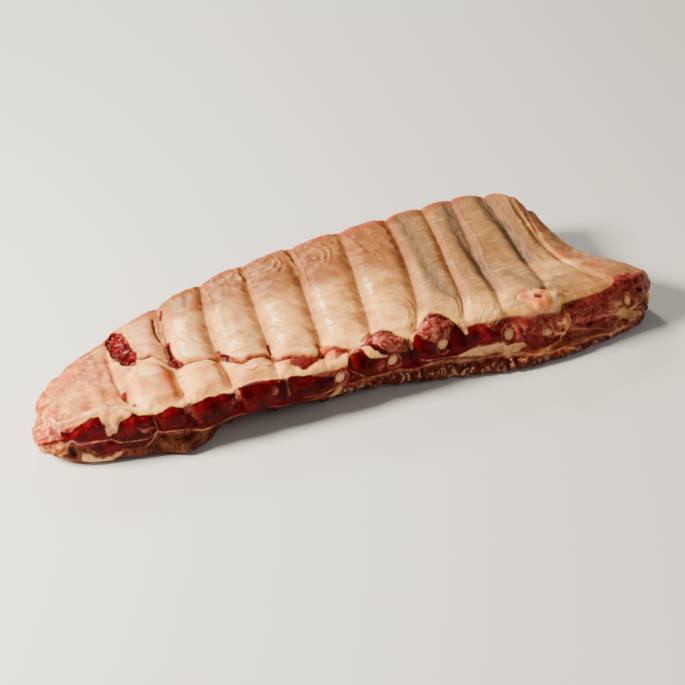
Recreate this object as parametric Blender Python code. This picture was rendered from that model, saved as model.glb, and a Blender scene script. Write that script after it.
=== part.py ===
"""A raw St. Louis style rack of pork spare ribs, lying with its bone side up.

The slab of lean, fat and membrane is one solid. Each rib is a rod of bone and cartilage in a channel
that runs through the slab, from the near cut beside the breastbone to the far cut beside the spine.
+X runs along the rack to its wide shoulder end, -Y faces the near cut and +Z is up. The origin is on
the surface that the rack lies on, under the middle of its box.
"""

import math

import bmesh
import bpy
import numpy as np

MM = 0.001

# A place along the rack is a rib coordinate: 0 at the tail tip, a whole number at each crease between
# two ribs, and 12 at the shoulder end. A place across it is a distance from the rim of the near cut.
# Sizes are in millimetres.
PLAN = (
    # rib coordinate, near x, near y, far x, far y, bow of the crease towards the shoulder
    (0.0, -209, -47, -211, -31, 0),
    (0.25, -204, -53, -208, -22, 0),
    (0.5, -193, -57, -199, -12, 0),
    (0.75, -177, -60, -181, 2, -2),
    (1.0, -158, -63, -155, 19, -4),
    (1.5, -144, -65, -134, 29, -3),
    (2.0, -129, -66, -111, 40, -3),
    (3.0, -99, -66, -76, 53, -5),
    (4.0, -72, -67, -44, 62, 0),
    (5.0, -41, -67, -7, 68, 1),
    (6.0, -9, -65, 31, 73, 3),
    (7.0, 20, -64, 66, 75, 9),
    (8.0, 55, -63, 95, 78, 6),
    (9.0, 82, -64, 119, 79, 2),
    (10.0, 114, -65, 143, 75, 6),
    (11.0, 162, -61, 159, 66, -7),
    (11.6, 186, -57, 165, 62, -9),
    (12.0, 200, -46, 168, 56, -9),
)
HEIGHTS = (
    # rib coordinate, rim of the near cut, crest's distance, crest, valley, far edge, far thickness
    (0.0, 19, 6, 20, 20, 19, 11),
    (0.25, 25, 10, 28, 28, 26, 20),
    (0.5, 28, 14, 32, 32, 30, 24),
    (1.0, 29, 24, 35, 35, 33, 24),
    (2.0, 30, 30, 36, 35, 35, 22),
    (3.0, 30, 30, 36, 35, 36, 21),
    (4.0, 30, 28, 36, 34, 37, 20),
    (5.0, 30, 22, 36, 34, 38, 20),
    (6.0, 32, 14, 36, 34, 39, 20),
    (7.0, 33, 11, 37, 33, 40, 20),
    (8.0, 34, 10, 38, 33, 40, 20),
    (9.0, 34, 10, 38, 32, 41, 20),
    (10.0, 34, 10, 38, 32, 41, 20),
    (11.0, 33, 12, 36, 31, 41, 20),
    (12.0, 26, 12, 29, 25, 33, 18),
)
TOE = (
    # rib coordinate, how far the foot of the near cut stands out from its rim, or is tucked under it
    (0.0, -4),
    (0.5, 0),
    (1.0, 2),
    (1.5, 4),
    (1.9, 8),
    (2.3, 3),
    (2.8, -9),
    (3.4, -14),
    (4.5, -10),
    (6.0, -5),
    (7.0, 0),
    (8.0, 8),
    (9.0, 13),
    (10.0, 14),
    (11.0, 10),
    (12.0, 4),
)
RIBS = (
    # rib coordinate at near cut, at far cut, width of the sawn bone there, how far the near end dips
    (0.68, 0.62, 11, 0),
    (1.20, 1.55, 14, 0),
    (2.02, 2.5, 15, 0),
    (2.94, 3.5, 15, 0),
    (3.90, 4.5, 15, 0),
    (5.26, 5.5, 16, 0),
    (6.45, 6.5, 16, 1),
    (7.54, 7.5, 15, 0),
    (8.32, 8.5, 14, 1),
    (9.10, 9.42, 13, 3),
    (9.95, 10.36, 10, 7),
    (11.30, 11.35, 8, 2),
)

# Rows of points across the top: shares of the way from the rim to the crest, then on to the far edge
RIM_TO_CREST = (0, 0.3, 0.6, 0.85, 1)
CREST_TO_FAR = (0.06, 0.18, 0.34, 0.5, 0.66, 0.82, 0.94, 1)
TOP_ROWS = len(RIM_TO_CREST) + len(CREST_TO_FAR)
# Cross-sections within each rib, closer together beside its creases
RIB_STEPS = (0, 0.08, 0.25, 0.5, 0.75, 0.92)
RIB_COUNT = len(RIBS)

# Points up the near cut. The layered one has a muscle layer along its foot, the plain one hasn't.
LAYERED_CUT = (
    # shares of the toe and of the lobes, and mm, out of the rim; share of the rim's height, and mm
    (1.0, 0.0, 0.0, 0.0, 2.5),
    (0.85, 0.0, 1.5, 0.0, 7.5),
    (0.6, 0.0, -1.5, 0.0, 12.5),
    (0.42, 0.6, 1.2, 0.56, 0.0),
    (0.22, 1.0, 1.2, 0.77, 0.0),
    (0.05, 0.4, 0.0, 0.95, 0.0),
)
PLAIN_CUT = (
    (1.0, 0.0, -1.0, 0.1, 0.0),
    (0.5, 0.4, 0.0, 0.3, 0.0),
    (0.15, 0.8, 0.0, 0.47, 0.0),
    (0.0, 1.0, 0.7, 0.64, 0.0),
    (0.0, 1.0, 0.7, 0.8, 0.0),
    (0.0, 0.3, 0.0, 0.95, 0.0),
)
LAYER_FROM = 6.0          # the lower muscle layer shows from this rib coordinate to the shoulder end
LAYER_FADE = 2.0          # rib coordinate
LOBE = 2.4                # muscle stands out between the rib ends on the near cut
LOBE_SPREAD = 0.2         # rib coordinate

FAR_CUT = (
    # share of the thickness down from the edge, share of the scallop, mm out of the edge
    (0.3, 1.0, 0.0),
    (0.7, 0.6, -0.5),
)
SCALLOP = 1.8             # each band swells out of the far cut
SCALLOP_ROWS = (0.2, 0.6, 1.0)   # how far the top's last rows follow it

EDGE_INSET = 2.0          # the top's outer rows stay this far inside the two cuts
VALLEY_AT = 0.48          # share of the width
RISE_AT = 0.8
RISE_SHARE = 0.62         # of the valley's depth regained there
FLAT_SHARE = 0.62         # of the underside lies flat on the surface
FOOT_INSET = 4.0          # the underside's edge is this far inside the toe
FOOT_SHARE = 0.3          # of the width is drawn out or in with it
TAIL_LIFT = 7.0           # the tail tip curls this far off the surface
TAIL_LIFT_END = 0.8       # rib coordinate
NARROW = 60.0             # below this width the section's roundings shrink with it

CREASE_DEPTH = 2.6        # from a band's crown to the crease beside it
CREASE_POWER = 0.55       # below 1 the creases are narrower than the bands
CREASE_BELOW = 0.6        # share of the depth that lies below the plain surface
BANDS_FROM = 0.35         # the bands rise over a stretch from here, in rib coordinate
BANDS_FADE = 0.5
END_FADE = 0.3            # and die out over this stretch at the shoulder end
RIM_FADE = 12.0           # and over this distance from the near cut
MEMBRANE_STEP = 1.6       # the crease along the membrane's near edge
MEMBRANE_FROM = 1.2
MEMBRANE_TO = 6.2
MEMBRANE_FADE = 0.4

# A raw hollow in the tail and a fatty mound over a cartilage: x, y, spread and rise
PIT = (-152, -4, 13, -2.2)
MOUND = (112, -52, 16, 3.0)

RIB_COVER = 9.5           # from the top down to a rib's middle
RIB_PROUD = 0.6           # the rib ends stand out of the two cuts by this
CARTILAGE_WIDTH = 13.0
CARTILAGE_HEIGHT = 12.0
BONE_HEIGHT = 10.0
CARTILAGE_SHARE = 0.35    # of a rib's length
RIB_SIDES = 10
RIB_SECTIONS = 8
RIB_GAP = 0.35
CHANNEL_OVERRUN = 8.0
NEARBY = 0.05             # rib coordinate, for the way that a cut runs

SHOULDER_ROUND = 5.0
TAIL_ROUND = 4.5
ROUND_ANGLES = (35, 70)   # degrees round each end's edge
SHOULDER_FACES = (0.98, 0.2)
TAIL_FACES = (-1.0, 0.1)
SMOOTH_ANGLE = 40         # degrees; a sharper edge is shaded as an edge


def curve(rows, places):
    """The columns of a table at these places, on a smooth curve through its rows."""
    rows = np.array(rows, dtype=float)
    knots, values = rows[:, 0], rows[:, 1:]
    slopes = np.gradient(values, knots, axis=0)
    places = np.clip(np.asarray(places, dtype=float), knots[0], knots[-1])
    i = np.clip(np.searchsorted(knots, places, side="right") - 1, 0, len(knots) - 2)
    step = (knots[i + 1] - knots[i])[..., None]
    t = (places[..., None] - knots[i][..., None]) / step
    first = values[i] * (1 + 2 * t) * (1 - t) ** 2 + slopes[i] * step * t * (1 - t) ** 2
    second = values[i + 1] * t * t * (3 - 2 * t) - slopes[i + 1] * step * t * t * (1 - t)
    return np.moveaxis(first + second, -1, 0)


def ease(share):
    """A smooth step from 0 to 1."""
    share = np.clip(share, 0, 1)
    return share * share * (3 - 2 * share)


def hill(distance, spread):
    """A smooth bump of height 1."""
    return np.exp(-(distance / spread) ** 2)


def band(place):
    """Height of the rounded band over a rib, with a narrow crease at each whole rib coordinate."""
    rounded = np.abs(np.sin(math.pi * place)) ** CREASE_POWER
    return CREASE_DEPTH * (rounded - CREASE_BELOW)


def width_at(place):
    """From the near rim to the far edge."""
    near_x, near_y, far_x, far_y, _ = curve(PLAN, place)
    return float(np.hypot(far_x - near_x, far_y - near_y))


def in_plan(place, across):
    """x and y at these distances from the near rim, along the bowed line of this rib coordinate."""
    near_x, near_y, far_x, far_y, bow = curve(PLAN, place)
    share = np.asarray(across, dtype=float) / width_at(place)
    inside = np.clip(share, 0, 1)
    x = near_x + (far_x - near_x) * share + 4 * bow * inside * (1 - inside)
    y = near_y + (far_y - near_y) * share
    return np.column_stack([x, y])


def top_height(place, across):
    """Height of the bone side before the bands are raised on it."""
    rim, crest_at, crest, valley, far, _ = curve(HEIGHTS, place)
    width = width_at(place)
    small = min(1.0, width / NARROW)
    knots = (
        (EDGE_INSET * small, rim + EDGE_INSET * small),
        (crest_at * small, crest),
        (VALLEY_AT * width, valley),
        (RISE_AT * width, valley + RISE_SHARE * (far - valley)),
        (width - EDGE_INSET * small, far),
    )
    return curve(knots, across)[0]


def top_rows(place):
    """Distances from the near rim, and heights, of the points across the bone side."""
    width = width_at(place)
    small = min(1.0, width / NARROW)
    start = EDGE_INSET * small
    crest = float(curve(HEIGHTS, place)[1]) * small
    end = width - EDGE_INSET * small
    across = [start + (crest - start) * share for share in RIM_TO_CREST]
    across += [crest + (end - crest) * share for share in CREST_TO_FAR]
    across = np.array(across)
    height = top_height(place, across)
    return across, height


def relief(place, across, height):
    """The top's heights with its bands, its creases and the membrane's near edge."""
    inward = ease(across / RIM_FADE)
    tail = ease((place - BANDS_FROM) / BANDS_FADE)
    end = ease((RIB_COUNT - place) / END_FADE)
    raised = height + band(place) * inward * tail * end
    started = ease((place - MEMBRANE_FROM) / MEMBRANE_FADE)
    not_ended = ease((MEMBRANE_TO - place) / MEMBRANE_FADE)
    raised[len(RIM_TO_CREST) - 1] -= MEMBRANE_STEP * started * not_ended
    x, y = in_plan(place, across).T
    for at_x, at_y, spread, rise in (PIT, MOUND):
        raised += rise * hill(np.hypot(x - at_x, y - at_y), spread)
    return raised


def lobes(place):
    """How far muscle stands out of the near cut here: most between two rib ends."""
    ends = np.array([rib[0] for rib in RIBS])
    nearest = np.min(np.abs(ends - place))
    return LOBE * (0.5 - hill(nearest, LOBE_SPREAD))


def near_face(place):
    """Up the near cut from its foot: how far its points stand out of the rim, and their heights."""
    rim = float(curve(HEIGHTS, place)[0])
    toe = float(curve(TOE, place)[0])
    swell = lobes(place)
    layered = float(ease((place - LAYER_FROM) / LAYER_FADE))
    rows = np.array(LAYERED_CUT) * layered + np.array(PLAIN_CUT) * (1 - layered)
    out = rows[:, 0] * toe + rows[:, 1] * swell + rows[:, 2]
    height = rows[:, 3] * rim + rows[:, 4]
    return out, height


def section(place):
    """One closed loop round the rack: across the top, down the far cut, back below, up the near cut."""
    width = width_at(place)
    small = min(1.0, width / NARROW)
    rim, _, _, _, far, thick = curve(HEIGHTS, place)
    across, height = top_rows(place)
    swell = SCALLOP * band(place) / CREASE_DEPTH * small
    lift = TAIL_LIFT * float(1 - ease(place / TAIL_LIFT_END))
    low = far - thick

    top = np.column_stack([across, relief(place, across, height)])
    top[-len(SCALLOP_ROWS):, 0] += swell * np.array(SCALLOP_ROWS)
    far_cut = [
        (width + follow * swell + out * small, far - down * thick) for down, follow, out in FAR_CUT
    ]
    toe = float(curve(TOE, place)[0])
    below = lift + (low - lift) * ease((across / width - FLAT_SHARE) / (1 - FLAT_SHARE))
    drawn = (toe - FOOT_INSET) * small * np.clip(1 - across / (FOOT_SHARE * width), 0, 1)
    under = np.column_stack([across - drawn, below])[::-1]
    out, z = near_face(place)
    near_cut = np.column_stack([-out * small, z + lift * (1 - z / rim)])
    return np.vstack([top, far_cut, under, near_cut])


def in_space(place, loop):
    """A section's points as x, y and z."""
    return np.column_stack([in_plan(place, loop[:, 0]), loop[:, 1]])


def drawn_in(loop, amount):
    """The loop shrunk by this much all round, towards the middle line between its top and its underside."""
    top = loop[:TOP_ROWS]
    under_from = TOP_ROWS + len(FAR_CUT)
    under = loop[under_from:under_from + TOP_ROWS][::-1]
    middle = np.interp(loop[:, 0], top[:, 0], (top[:, 1] + under[:, 1]) / 2)
    half = np.interp(loop[:, 0], top[:, 0], (top[:, 1] - under[:, 1]) / 2)
    centre = (loop[:, 0].min() + loop[:, 0].max()) / 2
    reach = (loop[:, 0].max() - loop[:, 0].min()) / 2
    across = centre + (loop[:, 0] - centre) * (1 - amount / reach)
    height = middle + (loop[:, 1] - middle) * (1 - amount / half)
    return np.column_stack([across, height])


def rounded_end(place, outward, radius):
    """Sections that round the edge of an end over, from the end's own section outwards."""
    loop = section(place)
    rings = []
    for degrees in ROUND_ANGLES:
        turn = math.radians(degrees)
        ring = in_space(place, drawn_in(loop, radius * (1 - math.cos(turn))))
        ring[:, :2] += np.array(outward) * radius * math.sin(turn)
        rings.append(ring)
    return rings


def loft(name, rings, caps):
    """A closed mesh through the rings, with a face list for each end."""
    mesh = bpy.data.meshes.new(name)
    bm = bmesh.new()
    loops = [[bm.verts.new(point * MM) for point in ring] for ring in rings]
    size = len(loops[0])
    for this, after in zip(loops, loops[1:]):
        for i in range(size):
            j = (i + 1) % size
            bm.faces.new((this[i], this[j], after[j], after[i]))
    for cap in caps(size):
        bm.faces.new([loops[0][i] for i in cap])
        bm.faces.new([loops[-1][i] for i in cap])
    bmesh.ops.recalc_face_normals(bm, faces=bm.faces)
    bmesh.ops.triangulate(bm, faces=bm.faces, quad_method="SHORT_EDGE")
    bm.to_mesh(mesh)
    bm.free()
    mesh.shade_smooth()
    mesh.set_sharp_from_angle(angle=math.radians(SMOOTH_ANGLE))
    piece = bpy.data.objects.new(name, mesh)
    bpy.context.collection.objects.link(piece)
    return piece


def slab_caps(size):
    """Faces over a section: quads from its top row to its under row, and one face at either cut."""
    under = TOP_ROWS + len(FAR_CUT)
    faces = []
    for i in range(TOP_ROWS - 1):
        opposite = under + TOP_ROWS - 1 - i
        faces.append((i, i + 1, opposite - 1, opposite))
    faces.append(tuple(range(TOP_ROWS - 1, under + 1)))
    faces.append((*range(under + TOP_ROWS - 1, size), 0))
    return faces


def rod_caps(size):
    """One face over the end of a rod."""
    return [tuple(range(size))]


def rib_path(rib):
    """Points along a rib's middle, from the rim of the near cut to the far cut."""
    near, far, _, dip = RIBS[rib]
    points = []
    for share in np.linspace(0, 1, RIB_SECTIONS):
        place = near + (far - near) * share
        width = width_at(place)
        small = min(1.0, width / NARROW)
        across = width * share
        level = np.clip(across, EDGE_INSET * small, width - EDGE_INSET * small)
        x, y = in_plan(place, np.array([across]))[0]
        cover = RIB_COVER + dip * (1 - share) ** 2
        points.append((x, y, float(top_height(place, level)) - cover))
    return np.array(points)


def level_direction(vector):
    """The same way in plan, with length 1."""
    flat = np.array([vector[0], vector[1], 0.0])
    return flat / np.linalg.norm(flat)


def near_cut_reach(place, height):
    """How far the near cut stands out of its rim at a height."""
    small = min(1.0, width_at(place) / NARROW)
    out, heights = near_face(place)
    return small * np.interp(height, heights, out)


def far_cut_reach(place, height):
    """How far the far cut stands out of the far edge at a height."""
    small = min(1.0, width_at(place) / NARROW)
    _, _, _, _, far, thick = curve(HEIGHTS, place)
    swell = SCALLOP * band(place) / CREASE_DEPTH * small
    rows = [(far - down * thick, follow * swell + out * small) for down, follow, out in FAR_CUT]
    heights, outs = zip(*rows[::-1])
    return np.interp(height, heights, outs)


def cut_direction(place, share):
    """The way that a cut runs in plan beside a rib's end. The near cut has share 0, the far one 1."""
    ends = []
    for beside in (place - NEARBY, place + NEARBY):
        ends.append(in_plan(beside, np.array([share * width_at(beside)]))[0])
    return level_direction(ends[1] - ends[0])


def rib_rings(rib, gap=0.0, overrun=0.0):
    """Oval sections along a rib: nearly round gristle at the near cut, flat bone from there on.

    The first and last sections lie along the slanting cuts, and stand a little out of them."""
    near, far, bone_width, _ = RIBS[rib]
    gristle_width = min(CARTILAGE_WIDTH, bone_width)
    points = rib_path(rib)
    last = len(points) - 1
    rings = []
    for i, point in enumerate(points):
        along = level_direction(points[min(i + 1, last)] - points[max(i - 1, 0)])
        side = np.array([along[1], -along[0], 0.0])
        slanted = side
        if i == 0:
            slanted = cut_direction(near, 0)
        if i == last:
            slanted = cut_direction(far, 1)
        side = slanted / (slanted @ side)
        turned = ease(i / last / CARTILAGE_SHARE)
        width = gristle_width + (bone_width - gristle_width) * turned
        height = CARTILAGE_HEIGHT + (BONE_HEIGHT - CARTILAGE_HEIGHT) * turned
        ring = []
        for step in range(RIB_SIDES):
            turn = 2 * math.pi * step / RIB_SIDES
            sideways = side * (width / 2 + gap) * math.cos(turn)
            upward = np.array([0, 0, (height / 2 + gap) * math.sin(turn)])
            at = point + sideways + upward
            if i == 0:
                at = at - along * (near_cut_reach(near, at[2]) + RIB_PROUD)
            if i == last:
                at = at + along * (far_cut_reach(far, at[2]) + RIB_PROUD)
            ring.append(at)
        rings.append(np.array(ring))
    if overrun:
        rings.insert(0, rings[0] + overrun * level_direction(points[0] - points[1]))
        rings.append(rings[-1] + overrun * level_direction(points[-1] - points[-2]))
    return rings


def material(name, colour, roughness):
    """A plain material of one colour."""
    made = bpy.data.materials.new(name)
    made.use_nodes = True
    shader = made.node_tree.nodes["Principled BSDF"]
    shader.inputs["Base Color"].default_value = (*colour, 1)
    shader.inputs["Roughness"].default_value = roughness
    shader.inputs["Metallic"].default_value = 0.0
    return made


def centred(rings, middle):
    """The rings with the origin moved to this middle."""
    return [ring - middle for ring in rings]


def slab_rings():
    """All sections of the slab, from the tail tip to the shoulder end."""
    places = [rib + step for rib in range(RIB_COUNT) for step in RIB_STEPS] + [RIB_COUNT]
    rings = [in_space(place, section(place)) for place in places]
    tail = rounded_end(0, TAIL_FACES, TAIL_ROUND)
    shoulder = rounded_end(RIB_COUNT, SHOULDER_FACES, SHOULDER_ROUND)
    return tail[::-1] + rings + shoulder


def cut_channels(slab, middle):
    """One Boolean takes every rib's channel out of the slab."""
    cutters = bpy.data.collections.new("channels")
    bpy.context.scene.collection.children.link(cutters)
    for rib in range(RIB_COUNT):
        rings = centred(rib_rings(rib, RIB_GAP, CHANNEL_OVERRUN), middle)
        cutter = loft(f"channel_{rib + 1:02d}", rings, rod_caps)
        bpy.context.collection.objects.unlink(cutter)
        cutters.objects.link(cutter)
        cutter.hide_render = True
        cutter.display_type = "WIRE"
    cut = slab.modifiers.new("rib channels", "BOOLEAN")
    cut.operation = "DIFFERENCE"
    cut.operand_type = "COLLECTION"
    cut.collection = cutters
    cut.solver = "EXACT"


def main():
    for old in list(bpy.data.objects):
        bpy.data.objects.remove(old)

    rings = slab_rings()
    points = np.vstack(rings)
    middle = (points.min(axis=0) + points.max(axis=0)) / 2
    middle[2] = 0.0

    slab = loft("meat", centred(rings, middle), slab_caps)
    slab.data.materials.append(material("raw pork", (0.62, 0.42, 0.33), 0.4))
    cut_channels(slab, middle)

    bone = material("rib bone and cartilage", (0.78, 0.62, 0.5), 0.35)
    for rib in range(RIB_COUNT):
        piece = loft(f"rib_{rib + 1:02d}", centred(rib_rings(rib), middle), rod_caps)
        piece.data.materials.append(bone)


main()
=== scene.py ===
"""A raw St. Louis style slab of pork spare ribs, bone side up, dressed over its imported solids.

The flesh is one closed skin, laid over the same form as the solid and worked up with its creases,
cords, fat pads, muscle ends and wet finish. Each rib gets a turned rod with a cut end.
"""

import math
from functools import partial

import bpy
import numpy as np
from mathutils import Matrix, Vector


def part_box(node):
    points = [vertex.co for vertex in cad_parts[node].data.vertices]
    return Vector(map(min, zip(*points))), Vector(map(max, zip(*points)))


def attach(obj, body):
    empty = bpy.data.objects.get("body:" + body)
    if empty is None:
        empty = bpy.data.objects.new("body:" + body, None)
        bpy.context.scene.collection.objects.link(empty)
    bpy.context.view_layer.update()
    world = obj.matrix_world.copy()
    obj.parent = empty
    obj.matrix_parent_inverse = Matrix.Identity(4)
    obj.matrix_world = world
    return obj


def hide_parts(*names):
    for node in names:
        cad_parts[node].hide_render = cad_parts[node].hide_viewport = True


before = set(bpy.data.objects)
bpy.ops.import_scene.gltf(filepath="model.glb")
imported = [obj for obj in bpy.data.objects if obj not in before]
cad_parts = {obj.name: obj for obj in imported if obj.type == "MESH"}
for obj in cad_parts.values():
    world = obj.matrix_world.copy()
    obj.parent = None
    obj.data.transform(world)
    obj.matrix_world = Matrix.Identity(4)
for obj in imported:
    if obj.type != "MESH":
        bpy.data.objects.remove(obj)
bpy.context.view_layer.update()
bpy.ops.object.select_all(action="DESELECT")

MM = 0.001
rng = np.random.default_rng(7)


# The form. Sizes are in millimetres. A rib coordinate runs along the slab: 0 at the tail tip, a whole
# number at each crease between two ribs, and 12 at the shoulder end.

PLAN = (
    # rib coordinate, near x, near y, far x, far y, bow of the crease towards the shoulder
    (0.0, -209, -47, -211, -31, 0),
    (0.25, -204, -53, -208, -22, 0),
    (0.5, -193, -57, -199, -12, 0),
    (0.75, -177, -60, -181, 2, -2),
    (1.0, -158, -63, -155, 19, -4),
    (1.5, -144, -65, -134, 29, -3),
    (2.0, -129, -66, -111, 40, -3),
    (3.0, -99, -66, -76, 53, -5),
    (4.0, -72, -67, -44, 62, 0),
    (5.0, -41, -67, -7, 68, 1),
    (6.0, -9, -65, 31, 73, 3),
    (7.0, 20, -64, 66, 75, 9),
    (8.0, 55, -63, 95, 78, 6),
    (9.0, 82, -64, 119, 79, 2),
    (10.0, 114, -65, 143, 75, 6),
    (11.0, 162, -61, 159, 66, -7),
    (11.6, 186, -57, 165, 62, -9),
    (12.0, 200, -46, 168, 56, -9),
)
HEIGHTS = (
    # rib coordinate, rim of the near cut, crest's distance, crest, valley, far edge, far thickness
    (0.0, 19, 6, 20, 20, 19, 11),
    (0.25, 25, 10, 28, 28, 26, 20),
    (0.5, 28, 14, 32, 32, 30, 24),
    (1.0, 29, 24, 35, 35, 33, 24),
    (2.0, 30, 30, 36, 35, 35, 22),
    (3.0, 30, 30, 36, 35, 36, 21),
    (4.0, 30, 28, 36, 34, 37, 20),
    (5.0, 30, 22, 36, 34, 38, 20),
    (6.0, 32, 14, 36, 34, 39, 20),
    (7.0, 33, 11, 37, 33, 40, 20),
    (8.0, 34, 10, 38, 33, 40, 20),
    (9.0, 34, 10, 38, 32, 41, 20),
    (10.0, 34, 10, 38, 32, 41, 20),
    (11.0, 33, 12, 36, 31, 41, 20),
    (12.0, 26, 12, 29, 25, 33, 18),
)
TOE = (
    # rib coordinate, how far the foot of the near cut stands out from its rim, or is tucked under it
    (0.0, -4),
    (0.5, 0),
    (1.0, 2),
    (1.5, 4),
    (1.9, 8),
    (2.3, 3),
    (2.8, -9),
    (3.4, -14),
    (4.5, -10),
    (6.0, -5),
    (7.0, 0),
    (8.0, 8),
    (9.0, 13),
    (10.0, 14),
    (11.0, 10),
    (12.0, 4),
)
RIBS = (
    # rib coordinate at near cut, at far cut, width of the sawn bone there, how far the near end dips
    (0.68, 0.62, 11, 0),
    (1.20, 1.55, 14, 0),
    (2.02, 2.5, 15, 0),
    (2.94, 3.5, 15, 0),
    (3.90, 4.5, 15, 0),
    (5.26, 5.5, 16, 0),
    (6.45, 6.5, 16, 1),
    (7.54, 7.5, 15, 0),
    (8.32, 8.5, 14, 1),
    (9.10, 9.42, 13, 3),
    (9.95, 10.36, 10, 7),
    (11.30, 11.35, 8, 2),
)
LAYERED_CUT = (
    # shares of the toe and of the lobes, and mm, out of the rim; share of the rim's height, and mm
    (1.0, 0.0, 0.0, 0.0, 2.5),
    (0.85, 0.0, 1.5, 0.0, 7.5),
    (0.6, 0.0, -1.5, 0.0, 12.5),
    (0.42, 0.6, 1.2, 0.56, 0.0),
    (0.22, 1.0, 1.2, 0.77, 0.0),
    (0.05, 0.4, 0.0, 0.95, 0.0),
)
PLAIN_CUT = (
    (1.0, 0.0, -1.0, 0.1, 0.0),
    (0.5, 0.4, 0.0, 0.3, 0.0),
    (0.15, 0.8, 0.0, 0.47, 0.0),
    (0.0, 1.0, 0.7, 0.64, 0.0),
    (0.0, 1.0, 0.7, 0.8, 0.0),
    (0.0, 0.3, 0.0, 0.95, 0.0),
)
RIM_TO_CREST = (0, 0.3, 0.6, 0.85, 1)
CREST_TO_FAR = (0.06, 0.18, 0.34, 0.5, 0.66, 0.82, 0.94, 1)
FAR_CUT = ((0.3, 1.0, 0.0), (0.7, 0.6, -0.5))
RIB_COUNT = len(RIBS)
EDGE_INSET = 2.0
VALLEY_AT, RISE_AT, RISE_SHARE = 0.48, 0.8, 0.62
FLAT_SHARE, FOOT_INSET, FOOT_SHARE = 0.62, 4.0, 0.3
TAIL_LIFT, TAIL_LIFT_END, NARROW = 7.0, 0.8, 60.0
CREASE_DEPTH, CREASE_BELOW = 2.6, 0.6
SCALLOP, SCALLOP_ROWS = 1.8, (0.2, 0.6, 1.0)
LOBE, LOBE_SPREAD = 2.4, 0.2
LAYER_FROM, LAYER_FADE = 6.0, 2.0
RIB_COVER = 9.5
CARTILAGE_WIDTH, CARTILAGE_HEIGHT, BONE_HEIGHT = 13.0, 12.0, 10.0


def curve(rows, places):
    """The columns of a table at these places, on a smooth curve through its rows."""
    rows = np.array(rows, dtype=float)
    knots, values = rows[:, 0], rows[:, 1:]
    slopes = np.gradient(values, knots, axis=0)
    places = np.clip(np.asarray(places, dtype=float), knots[0], knots[-1])
    i = np.clip(np.searchsorted(knots, places, side="right") - 1, 0, len(knots) - 2)
    gap = (knots[i + 1] - knots[i])[..., None]
    t = (places[..., None] - knots[i][..., None]) / gap
    first = values[i] * (1 + 2 * t) * (1 - t) ** 2 + slopes[i] * gap * t * (1 - t) ** 2
    second = values[i + 1] * t * t * (3 - 2 * t) - slopes[i + 1] * gap * t * t * (1 - t)
    return np.moveaxis(first + second, -1, 0)


def ease(share):
    """A smooth step from 0 to 1."""
    share = np.clip(share, 0, 1)
    return share * share * (3 - 2 * share)


def hill(distance, spread):
    """A smooth bump of height 1."""
    return np.exp(-(distance / spread) ** 2)


def band(place):
    """Height of the rounded band over a rib, with a narrow crease at each whole rib coordinate."""
    phase = np.mod(place, 1.0) ** 0.85
    rounded = np.abs(np.sin(math.pi * phase)) ** 0.5
    return CREASE_DEPTH * (rounded - CREASE_BELOW)


def width_at(place):
    """Width of the slab in plan along this rib coordinate."""
    near_x, near_y, far_x, far_y, _ = curve(PLAN, place)
    return float(np.hypot(far_x - near_x, far_y - near_y))


def in_plan(place, across):
    """x and y at these distances from the near rim, along the bowed line of this rib coordinate."""
    near_x, near_y, far_x, far_y, bow = curve(PLAN, place)
    share = np.asarray(across, dtype=float) / width_at(place)
    held = np.clip(share, 0, 1)
    x = near_x + (far_x - near_x) * share + 4 * bow * held * (1 - held)
    y = near_y + (far_y - near_y) * share
    return np.column_stack([x, y])


def top_height(place, across):
    """Height of the bone side before the bands are raised on it."""
    rim, crest_at, crest, valley, far, _ = curve(HEIGHTS, place)
    width = width_at(place)
    small = min(1.0, width / NARROW)
    knots = (
        (EDGE_INSET * small, rim + EDGE_INSET * small),
        (crest_at * small, crest),
        (VALLEY_AT * width, valley),
        (RISE_AT * width, valley + RISE_SHARE * (far - valley)),
        (width - EDGE_INSET * small, far),
    )
    return curve(knots, across)[0]


def top_rows(place):
    """Distances from the near rim, and heights, of the points across the bone side."""
    width = width_at(place)
    small = min(1.0, width / NARROW)
    start = EDGE_INSET * small
    crest = float(curve(HEIGHTS, place)[1]) * small
    end = width - EDGE_INSET * small
    across = [start + (crest - start) * share for share in RIM_TO_CREST]
    across += [crest + (end - crest) * share for share in CREST_TO_FAR]
    across = np.array(across)
    return across, top_height(place, across)


def lobes(place):
    """How far muscle stands out of the near cut here: most between two rib ends."""
    ends = np.array([rib[0] for rib in RIBS])
    nearest = np.min(np.abs(ends - place))
    return LOBE * (0.5 - hill(nearest, LOBE_SPREAD))


def near_face(place):
    """Up the near cut from its foot: how far its points stand out of the rim, and their heights."""
    rim = float(curve(HEIGHTS, place)[0])
    toe = float(curve(TOE, place)[0])
    swell = lobes(place)
    layered = float(ease((place - LAYER_FROM) / LAYER_FADE))
    rows = np.array(LAYERED_CUT) * layered + np.array(PLAIN_CUT) * (1 - layered)
    out = rows[:, 0] * toe + rows[:, 1] * swell + rows[:, 2]
    height = rows[:, 3] * rim + rows[:, 4]
    return out, height


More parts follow.
